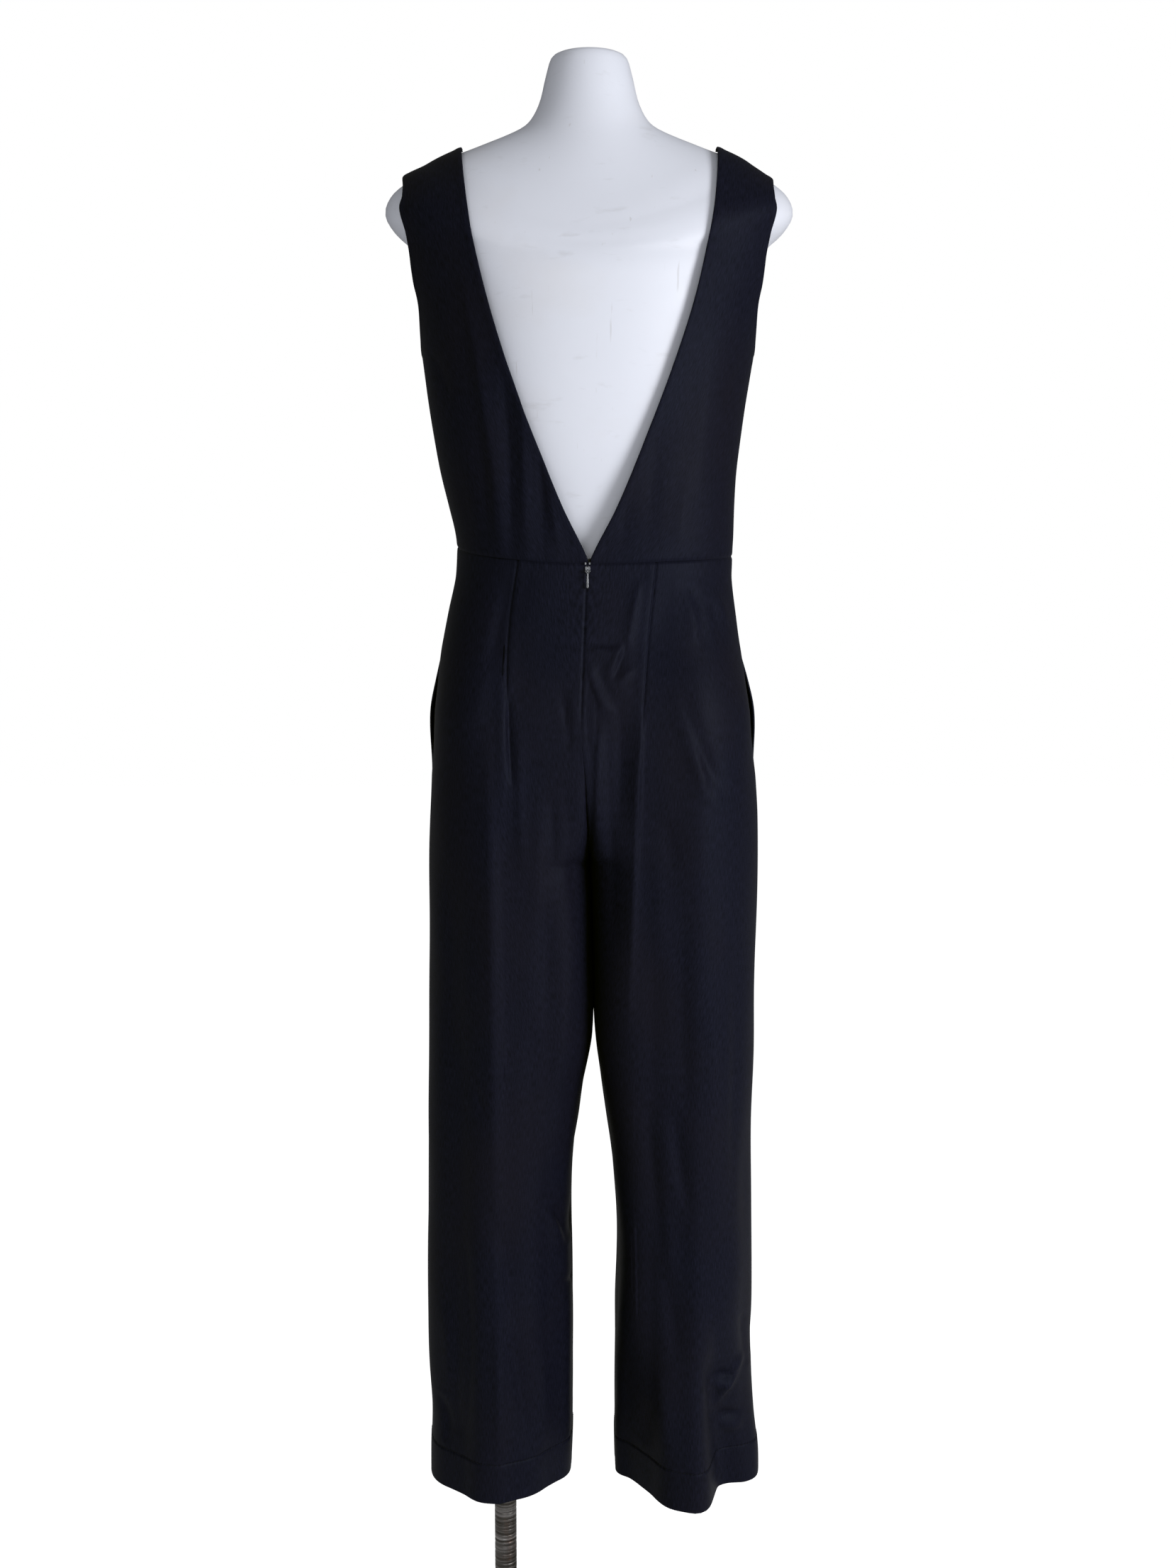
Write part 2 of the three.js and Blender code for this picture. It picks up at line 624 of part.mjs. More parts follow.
// The mouth's front edge stands out and its back edge sinks in
function mouthRise(face, across, height) {
  const nearSide = smooth(across, MOUTH_START, 1);
  return mouthOpen(height) * nearSide * (face > 0 ? -MOUTH_BACK_SINK : MOUTH_FRONT_RISE);
}

function panelHeight(side, face, across, down) {
  return mix(waistHeight(side, face, across), HEM[side], down);
}

function trouserPanel(side, face) {
  const name = `trouser_${face > 0 ? 'back' : 'front'}_${side}`;
  const grid = panelGrid({
    place: (u, v) => trouserPoint(side, face, u, panelHeight(side, face, u, v)),
    columns: evenSteps(TROUSER_COLUMNS),
    rows: TROUSER_ROWS,
    thickness: CLOTH_WALL,
    outward: (side === 'left' ? 1 : -1) * face,
    lift: (u, v) => foldRise(name, u, panelHeight(side, face, u, v)),
    seams: ['first', 'last', 'bottom'],
  });
  return closedWall(grid);
}

// Pocket bag: a sheet that starts inside the back panel at the side seam, runs forward inside the
// front panel, turns back and ends at the front panel's edge
function pocketBag(side) {
  const sign = side === 'left' ? 1 : -1;
  const innerDepth = POCKET_DEPTH + POCKET_WALL + POCKET_HOLLOW;
  const place = (u, v) => {
    const height = mix(POCKET_TOP, POCKET_BOTTOM, v);
    const gape = POCKET_GAPE * mouthOpen(height) * (1 - Math.abs(2 * Math.min(u, 1 - u))) ** 4;
    const open = (1 - smooth(v, 0.9, 1)) * smooth(v, 0, 0.06);
    const hollow = mix(POCKET_PINCH, POCKET_HOLLOW, open) + gape;
    const turn = Math.min(Math.max((u - 0.46) / 0.08, 0), 1);
    const away = u < 0.5 ? u / 0.5 : (1 - u) / 0.5;
    const length = POCKET_REACH * Math.sin(Math.PI * (0.28 + 0.6 * v)) ** 0.6;
    const across = 0.985 - length * away;
    const depth = mix(innerDepth - POCKET_HOLLOW + hollow, POCKET_DEPTH, smooth(turn, 0, 1));
    const step = 0.002;
    const a = trouserPoint(side, -1, across - step, height);
    const b = trouserPoint(side, -1, across + step, height);
    const way = b.sub(a).normalize();
    const inward = new THREE.Vector3(-way.y, way.x, 0).multiplyScalar(sign);
    return trouserPoint(side, -1, across, height).addScaledVector(inward, depth);
  };
  const columns = [0, 0.12, 0.24, 0.36, 0.46, 0.5, 0.54, 0.64, 0.76, 0.88, 1];
  const rows = evenSteps(9);
  return closedWall(panelGrid({ place, columns, rows, thickness: POCKET_WALL, outward: -sign }));
}

// Dress form as one closed body, with a flat bottom face and a nearly flat neck top
function formTorso() {
  const points = [];
  const faces = [];
  const angles = [...FORM_ANGLES, ...FORM_ANGLES.slice(1, -1).reverse().map((angle) => 360 - angle)];
  const segments = angles.length;
  for (const level of FORM_LEVELS) {
    for (const angle of angles) points.push(formPoint(toRadians(angle), level));
  }
  for (let ring = 0; ring + 1 < FORM_LEVELS.length; ring += 1) {
    for (let segment = 0; segment < segments; segment += 1) {
      const next = (segment + 1) % segments;
      const a = ring * segments + segment;
      const b = ring * segments + next;
      faces.push(a, b, b + segments, a, b + segments, a + segments);
    }
  }
  const bottom = points.push(new THREE.Vector3(0, 0, FORM_LEVELS[0])) - 1;
  const top = points.push(new THREE.Vector3(0, 0, FORM_TOP)) - 1;
  const lastRing = (FORM_LEVELS.length - 1) * segments;
  for (let segment = 0; segment < segments; segment += 1) {
    const next = (segment + 1) % segments;
    faces.push(bottom, next, segment);
    faces.push(top, lastRing + segment, lastRing + next);
  }
  return meshGeometry(points, faces);
}

// Turned part standing on +Z, from a closed outline of [radius, height] pairs
function turned(outline, sides) {
  const profile = outline.map(([radius, height]) => new THREE.Vector2(radius, height));
  const geometry = new THREE.LatheGeometry(profile, sides);
  geometry.rotateX(Math.PI / 2);
  geometry.deleteAttribute('normal');
  geometry.deleteAttribute('uv');
  return mergeVertices(geometry, 1e-4);
}

function extruded(outline, holes, thickness) {
  const shape = new THREE.Shape(outline);
  shape.holes = holes.map((hole) => new THREE.Path(hole));
  const geometry = new THREE.ExtrudeGeometry(shape, { depth: thickness, bevelEnabled: false });
  geometry.translate(0, 0, -thickness / 2);
  geometry.deleteAttribute('normal');
  geometry.deleteAttribute('uv');
  return mergeVertices(geometry, 1e-4);
}

function circle(radius, sides, start = 0, end = 2 * Math.PI) {
  const isWhole = end - start > 2 * Math.PI - 1e-6;
  const count = isWhole ? sides : sides + 1;
  return Array.from({ length: count }, (_, index) => {
    const angle = start + ((end - start) * index) / sides;
    return new THREE.Vector2(radius * Math.cos(angle), radius * Math.sin(angle));
  });
}

const formBottom = FORM_LEVELS[0];
const poleTop = formBottom - FACE_GAP;
const poleBottom = BASE_HEIGHT + FACE_GAP;
const sliderFace = trouserPoint('left', 1, 0, TAB_HINGE_Z - SLIDER_HEIGHT / 2).y;
const hingeY = sliderFace + SLIDER_SEAT + SLIDER_PLATE + TAB_HINGE_STANDOFF;

function standPole() {
  const outline = [[0, poleBottom], [POLE_RADIUS, poleBottom], [POLE_RADIUS, poleTop], [0, poleTop]];
  return turned(outline, POLE_SIDES);
}

function formFlange() {
  const bore = POLE_RADIUS + FACE_GAP + 0.2;
  const bottom = poleTop - FLANGE_HEIGHT;
  return turned(
    [
      [bore, bottom],
      [FLANGE_RADIUS - 10, bottom],
      [FLANGE_RADIUS - 9, bottom + 10],
      [FLANGE_RADIUS, bottom + 12],
      [FLANGE_RADIUS, poleTop],
      [bore, poleTop],
      [bore, bottom],
    ],
    POLE_SIDES,
  );
}

function standCollar() {
  const bore = POLE_RADIUS + FACE_GAP + 0.2;
  const bottom = BASE_HEIGHT + FACE_GAP;
  return turned(
    [
      [bore, bottom],
      [COLLAR_RADIUS, bottom],
      [COLLAR_RADIUS, bottom + 5],
      [COLLAR_RADIUS - 7, bottom + 9],
      [COLLAR_RADIUS - 8, bottom + COLLAR_HEIGHT - 2],
      [COLLAR_RADIUS - 10, bottom + COLLAR_HEIGHT],
      [bore, bottom + COLLAR_HEIGHT],
      [bore, bottom],
    ],
    POLE_SIDES,
  );
}

function standBase() {
  return turned(
    [
      [0, 0],
      [BASE_RADIUS, 0],
      [BASE_RADIUS, BASE_HEIGHT - BASE_EDGE],
      [BASE_RADIUS - BASE_EDGE * 0.3, BASE_HEIGHT - BASE_EDGE * 0.3],
      [BASE_RADIUS - BASE_EDGE, BASE_HEIGHT],
      [0, BASE_HEIGHT],
    ],
    BASE_SIDES,
  );
}

// Tape of the concealed zip, just inside the centre-back seam
function zipTape() {
  const place = (u, v) => {
    const height = mix(ZIP_TAPE_TOP, ZIP_TAPE_BOTTOM, v);
    const flush = trouserPoint('left', 1, 0, Math.min(height, WAIST_BACK - 1));
    const x = flush.x + mix(-0.5, 0.5, u) * ZIP_TAPE_WIDTH;
    const sink = CLOTH_WALL + ZIP_TAPE_CLEARANCE + 0.012 * (x - flush.x) ** 2;
    return new THREE.Vector3(x, flush.y - sink, height);
  };
  const grid = panelGrid({
    place,
    columns: evenSteps(4),
    rows: evenSteps(8),
    thickness: ZIP_TAPE_WALL,
    outward: 1,
  });
  return closedWall(grid);
}

function toSolid(geometry) {
  const bare = geometry.clone();
  bare.deleteAttribute('normal');
  bare.deleteAttribute('uv');
  const merged = mergeVertices(bare, 1e-5);
  const vertProperties = new Float32Array(merged.attributes.position.array);
  const triVerts = new Uint32Array(merged.index.array);
  return new wasm.Manifold(new wasm.Mesh({ numProp: 3, vertProperties, triVerts }));
}

function fromSolid(solid) {
  const mesh = solid.getMesh();
  const geometry = new THREE.BufferGeometry();
  geometry.setAttribute('position', new THREE.Float32BufferAttribute(mesh.vertProperties, 3));
  geometry.setIndex([...mesh.triVerts]);
  return geometry;
}

function block(width, depth, height, y, z, x = 0) {
  return toSolid(new THREE.BoxGeometry(width, depth, height).translate(x, y, z));
}

// Outline in the YZ plane, extruded along X and centred on it
function acrossX(outline, holes, width) {
  const geometry = extruded(outline, holes, width);
  geometry.rotateY(QUARTER);
  geometry.rotateX(QUARTER);
  return toSolid(geometry);
}

// Slider: a plate on the seam with two ears, and a bail bar between them. The origin is the hinge.
function zipSlider() {
  const plateY = -TAB_HINGE_STANDOFF - SLIDER_PLATE / 2;
  const plateZ = 1.6;
  const earDepth = TAB_HINGE_STANDOFF + BAIL_RADIUS + 0.6;
  const earX = (SLIDER_WIDTH - SLIDER_EAR) / 2;
  const earY = -TAB_HINGE_STANDOFF + earDepth / 2 - 0.1;
  return fromSolid(
    block(SLIDER_WIDTH, SLIDER_PLATE, SLIDER_HEIGHT, plateY, plateZ)
      .add(block(SLIDER_EAR, earDepth, 3, earY, 0, earX))
      .add(block(SLIDER_EAR, earDepth, 3, earY, 0, -earX))
      .add(acrossX(circle(BAIL_RADIUS, 12), [], SLIDER_WIDTH - SLIDER_EAR)),
  );
}

// Pull tab: an eye round the bail bar and a slim plate that hangs from it
function pullTab() {
  const eyeWidth = SLIDER_WIDTH - 2 * SLIDER_EAR - 2 * TAB_SIDE_GAP;
  const plateTop = (TAB_EYE_INNER + TAB_EYE_OUTER) / 2;
  const halfTip = TAB_TIP_WIDTH / 2;
  const tip = circle(halfTip, 8, Math.PI, 2 * Math.PI).slice(1, -1);
  for (const point of tip) point.y += halfTip - TAB_LENGTH;
  const outline = [
    new THREE.Vector2(-eyeWidth / 2, -plateTop),
    new THREE.Vector2(-halfTip, -TAB_LENGTH + halfTip),
    ...tip,
    new THREE.Vector2(halfTip, -TAB_LENGTH + halfTip),
    new THREE.Vector2(eyeWidth / 2, -plateTop),
  ];
  const plate = extruded(outline, [], TAB_WALL);
  plate.rotateX(QUARTER);
  const eye = acrossX(circle(TAB_EYE_OUTER, 16), [circle(TAB_EYE_INNER, 12)], eyeWidth);
  return fromSolid(eye.add(toSolid(plate)));
}

const colours = {
  cloth: new THREE.MeshStandardMaterial({ color: 0x14161f, roughness: 0.62, metalness: 0 }),
  pocketing: new THREE.MeshStandardMaterial({ color: 0x0d0e13, roughness: 0.75, metalness: 0 }),
  zipMetal: new THREE.MeshStandardMaterial({ color: 0x6c6e72, roughness: 0.35, metalness: 1 }),
  formPaint: new THREE.MeshStandardMaterial({ color: 0xd9dce4, roughness: 0.55, metalness: 0 }),
  poleSteel: new THREE.MeshStandardMaterial({ color: 0x4a4644, roughness: 0.35, metalness: 1 }),
  basePaint: new THREE.MeshStandardMaterial({ color: 0x24242a, roughness: 0.5, metalness: 0.2 }),
};

const group = new THREE.Group();

function addPart(name, geometry, material, position = [0, 0, 0]) {
  const part = new THREE.Mesh(geometry, material);
  part.name = name;
  part.position.set(...position);
  group.add(part);
}

for (const side of ['left', 'right']) {
  addPart(`bodice_back_${side}`, backBodice(side), colours.cloth);
  addPart(`trouser_back_${side}`, trouserPanel(side, 1), colours.cloth);
  addPart(`trouser_front_${side}`, trouserPanel(side, -1), colours.cloth);
  addPart(`pocket_${side}`, pocketBag(side), colours.pocketing);
}
addPart('bodice_front', frontBodice(), colours.cloth);
addPart('zip_tape', zipTape(), colours.pocketing);
addPart('zip_slider', zipSlider(), colours.zipMetal, [SLIDER_X, hingeY, TAB_HINGE_Z]);
addPart('zip_pull_tab', pullTab(), colours.zipMetal, [SLIDER_X, hingeY, TAB_HINGE_Z]);
addPart('form_torso', formTorso(), colours.formPaint);
addPart('form_flange', formFlange(), colours.poleSteel, [POLE_X, 0, 0]);
addPart('stand_pole', standPole(), colours.poleSteel, [POLE_X, 0, 0]);
addPart('stand_collar', standCollar(), colours.poleSteel, [POLE_X, 0, 0]);
addPart('stand_base', standBase(), colours.basePaint);

export default group;
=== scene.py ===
"""Dark navy sleeveless jumpsuit with an open V back, worn by a limbless dress form on a pole stand.

Sizes in the tables are millimetres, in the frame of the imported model: +Z up, the garment's back
towards +Y and the wearer's left towards +X. Blender's own units are metres.
"""

import json
import math

import bpy
import numpy as np
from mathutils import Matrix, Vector


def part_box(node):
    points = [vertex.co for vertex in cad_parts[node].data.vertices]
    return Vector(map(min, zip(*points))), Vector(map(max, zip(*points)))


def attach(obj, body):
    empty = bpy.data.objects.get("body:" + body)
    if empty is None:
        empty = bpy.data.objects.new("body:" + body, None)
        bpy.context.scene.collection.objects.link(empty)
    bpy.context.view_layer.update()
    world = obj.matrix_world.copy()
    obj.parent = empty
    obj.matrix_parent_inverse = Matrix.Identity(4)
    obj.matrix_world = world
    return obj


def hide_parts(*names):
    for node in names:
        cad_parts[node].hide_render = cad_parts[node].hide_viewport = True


bl_info = {
    "name": "Jumpsuit on a Dress Form",
    "version": (1, 0, 0),
    "blender": (4, 5, 0),
    "location": "View3D > Sidebar > Jumpsuit",
    "description": "Builds a sleeveless jumpsuit and its dress form round their packed frame",
    "category": "Add Mesh",
}

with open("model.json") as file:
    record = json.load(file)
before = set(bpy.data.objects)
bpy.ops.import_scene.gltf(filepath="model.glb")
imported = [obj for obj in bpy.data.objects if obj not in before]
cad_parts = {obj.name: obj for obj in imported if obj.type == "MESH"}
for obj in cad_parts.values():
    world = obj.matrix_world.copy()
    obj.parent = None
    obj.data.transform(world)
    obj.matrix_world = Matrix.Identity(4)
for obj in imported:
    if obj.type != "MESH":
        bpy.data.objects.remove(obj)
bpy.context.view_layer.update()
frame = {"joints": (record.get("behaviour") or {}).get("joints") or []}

MM = 0.001
GARMENT_BODY = "jumpsuit_on_form"
TAB_BODY = "pull_tab"
SIDES = ("left", "right")
SIGN = {"left": 1, "right": -1}
BACK = 1
FRONT = -1
FACE_NAMES = {BACK: "back", FRONT: "front"}


def table(names, *rows):
    """Rows of numbers with named columns, in the order of the first column."""
    return dict(zip(names.split(), np.array(rows, float).T))


# Cloth
WAIST_BACK = 1277
WAIST_FRONT = 1284
WAIST_SIDE = {"left": 1298, "right": 1287}
HEM = {"left": 268, "right": 266}
CROTCH = 970
CROTCH_CURVE_TOP = 1100
CROTCH_CURVE_POWER = 2.3
LEG_BLEND_TOP = 1290
LEG_BLEND_BOTTOM = 1120
INNER_LEG_ROUND = 3.4

# Sections below this level are level. Above it they tilt up from one centre, at 2 mm of level for
# each degree, so that they pass over the shoulders and up the neck.
FAN_LEVEL = 1560
FAN_MM_PER_DEGREE = 2
UNDERARM_LEVEL = 1494
SHOULDER_TIP_LEVEL = 1624.6
SHOULDER_NECK_LEVEL = 1655

# Pockets in the side seams
POCKET_TOP = 1192
POCKET_MOUTH_BOTTOM = 1052
POCKET_BOTTOM = 945
POCKET_REACH = 0.42
POCKET_WALL = 0.8
POCKET_DEPTH = 3.8
POCKET_HOLLOW = 1.6
POCKET_PINCH = 0.5
POCKET_GAPE = 5.5
MOUTH_START = 0.77
MOUTH_FRONT_RISE = 3
MOUTH_BACK_SINK = 4.5

# Concealed zip at the centre back
ZIP_TAPE_WIDTH = 24
ZIP_TAPE_WALL = 0.8
ZIP_TAPE_BOTTOM = 1090
ZIP_TAPE_TOP = 1281
ZIP_TAPE_DEPTH = 2.1

FORM_SECTIONS = table(
    "level side front back round",
    (1018, 128, 74, 80, 2.3),
    (1020, 137, 82, 88, 2.3),
    (1028, 146, 89, 96, 2.3),
    (1045, 153, 94, 103, 2.3),
    (1080, 156, 96, 107, 2.3),
    (1120, 153, 95, 106, 2.3),
    (1170, 142, 90, 98, 2.25),
    (1230, 127, 84, 84, 2.2),
    (1290, 119, 82, 78, 2.2),
    (1340, 123, 87, 81, 2.2),
    (1400, 135, 102, 90, 2.2),
    (1455, 146, 114, 95, 2.2),
    (1510, 154, 109, 97, 2.15),
    (1560, 166, 96, 97, 2.1),
    (1576, 179, 92.5, 97, 2.05),
    (1587, 191, 91, 97, 2),
    (1593, 211, 91, 97, 2),
    (1600, 225.5, 91, 97, 2),
    (1609, 227, 91.5, 98, 2),
    (1618, 220.5, 92.5, 99, 2),
    (1624, 213.5, 93, 100, 2),
    (1640, 203, 97, 104.5, 2),
    (1655, 190.5, 102, 111, 2),
    (1670, 182.5, 110, 121, 2),
    (1684, 178.5, 122.5, 135, 2),
    (1696, 179, 140, 152, 2),
    (1704, 186, 160, 168, 2),
    (1711, 200, 186, 190, 2),
    (1717, 222, 216, 217, 2),
    (1720.6, 235.5, 234, 234, 2),
    (1724, 238.2, 237.6, 237.6, 2),
    (1731, 237.6, 237.4, 237.4, 2),
)
FORM_TOP = 1797

WAIST_ROWS = (
    (1262, 142.5, 152, 95.5, 100.5, 2.3),
    (1277, 141, 152, 95, 99.5, 2.3),
    (1292, 140, 152.2, 95, 99, 2.3),
)
BODICE_SECTIONS = table(
    "level left right front back round",
    *WAIST_ROWS,
    (1308, 141.5, 153, 96, 98.5, 2.3),
    (1338, 148.3, 153.8, 99.5, 98, 2.3),
    (1373, 156.3, 155.7, 106, 99, 2.25),
    (1409, 162.6, 159.8, 114, 101, 2.25),
    (1444, 168.2, 164.5, 121, 103, 2.2),
    (1479, 173.1, 170.1, 122.5, 104, 2.2),
    (1514, 178, 175.5, 117.5, 104.5, 2.15),
    (1549, 184, 182, 107, 104, 2.1),
    (1576, 197, 194.5, 99, 103.5, 2.05),
    (1590, 212, 210, 97, 103, 2),
    (1602, 232.5, 229.5, 96.5, 103, 2),
    (1609, 233, 231, 97, 103.5, 2),
    (1616, 229, 226, 97.5, 104, 2),
    (1624, 223, 219, 98, 105, 2),
    (1632, 213.8, 212.6, 100, 108, 2),
    (1640, 207.4, 207.4, 102.5, 111, 2),
    (1655, 194.8, 194.8, 108, 117.5, 2),
    (1670, 187, 187, 116, 127.5, 2),
)

# Half-width of the open V at the back, by real height
V_EDGE = table(
    "height left right",
    (1270, 1.2, 1.2),
    (1282, 2.4, 2.4),
    (1333, 27.1, 28.5),
    (1400, 54.6, 56.2),
    (1466, 79, 81.4),
    (1532, 99.7, 103.2),
    (1598, 116, 119),
    (1630, 121.5, 125),
    (1662, 126, 128.5),
    (1703.6, 131.6, 131.6),
)
ARMHOLE = table(
    "level angle",
    (1494, 0),
    (1508, 5.5),
    (1535, 9),
    (1560, 10.5),
    (1590, 12.5),
    (1602, 13),
    (1609, 12.5),
    (1617, 8.5),
    (1624.6, 0),
)
NECKLINE = table(
    "angle level",
    (0, 1611),
    (37, 1612),
    (58, 1618),
    (74, 1634),
    (90, 1655),
)
TROUSER_SECTIONS = table(
    "level left right front back round",
    (240, 178.8, 192, 91, 92, 2.5),
    (290, 178.4, 190.5, 91, 92, 2.5),
    (340, 177.2, 185, 91.5, 92.5, 2.5),
    (410, 180.5, 181.5, 92, 93, 2.5),
    (530, 179.4, 181, 93, 95, 2.5),
    (648, 178, 179, 96, 99, 2.5),
    (783, 175.8, 180.2, 100, 106, 2.5),
    (916, 173.5, 181, 104, 114, 2.5),
    (1010, 171.5, 180.5, 107, 119, 2.45),
    (1065, 169.6, 177.5, 108, 120, 2.4),
    (1121, 168.5, 175.5, 108, 119, 2.4),
    (1157, 163, 169, 106, 115.5, 2.35),
    (1194, 156.5, 160.5, 103, 110, 2.3),
    (1230, 149.6, 155.5, 99, 105, 2.3),
    *WAIST_ROWS,
)

# Inner edge of each leg below the crotch and the centre seams above it
INNER_EDGES = table(
    "height left right",
    (240, 21, -30.6),
    (330, 18.5, -29),
    (450, 18.3, -29.8),
    (530, 19, -31.7),
    (589, 19.7, -29.2),
    (648, 16.2, -24.2),
    (687, 10.2, -18.8),
    (725, 4.6, -12.8),
    (764, -2.8, -7.4),
    (800, -4.5, -5.5),
    (870, -3.6, -4.4),
    (940, -2.1, -2.7),
    (985, 1.1, 0.7),
    (1060, 4.3, 3.9),
    (1105, 8.1, 7.7),
    (1160, 7, 6.6),
    (1212, 5, 4.6),
    (1290, 1.6, 1.2),
)

# Share of its full depth that a back leg has at the hem, by place across the panel, and the height
# where the leg starts to narrow to it
HEM_DEPTHS = {
    "left": table(
        "across share",
        (0, 0.6), (0.22, 0.6), (0.33, 0.72), (0.46, 0.86), (0.54, 0.94), (0.6, 0.93), (0.74, 0.8),
        (1, 0.85),
    ),
    "right": table(
        "across share",
        (0, 0.5), (0.22, 0.42), (0.3, 0.53), (0.44, 0.98), (0.5, 1.07), (0.54, 1), (0.6, 0.54), (0.77, 0.62),
        (1, 0.9),
    ),
}
HEM_SHAPE_TOP = {"left": 1000, "right": 520}

# Height above which the legs' inner edges lean on each other
LEGS_TOUCH_BOTTOM = 785

# Hanging folds: where across the panel they start, how far they wander on the way down, their
# half-width across it and how far they stand out
FOLD_COLUMNS = "top bottom at drift width rise"
FOLDS = {
    "trouser_back_left": table(
        FOLD_COLUMNS,
        (1275, 1010, 0.53, 0.02, 0.1, -3.5),
    ),
    "trouser_back_right": table(
        FOLD_COLUMNS,
        (1275, 980, 0.48, -0.08, 0.1, -3.5),
        (760, 300, 0.84, -0.04, 0.1, -4),
    ),
    "trouser_front_left": table(
        FOLD_COLUMNS,
        (1180, 240, 0.45, 0.05, 0.16, 6),
        (980, 240, 0.75, 0.02, 0.13, -5),
    ),
    "trouser_front_right": table(
        FOLD_COLUMNS,
        (1200, 240, 0.42, 0.1, 0.16, 6),
        (1000, 240, 0.74, 0.04, 0.13, -5),
    ),
    "bodice_back_left": table(FOLD_COLUMNS, (1450, 1277, 0.55, -0.02, 0.22, 2)),
    "bodice_back_right": table(FOLD_COLUMNS, (1440, 1287, 0.5, 0.04, 0.22, 2)),
}

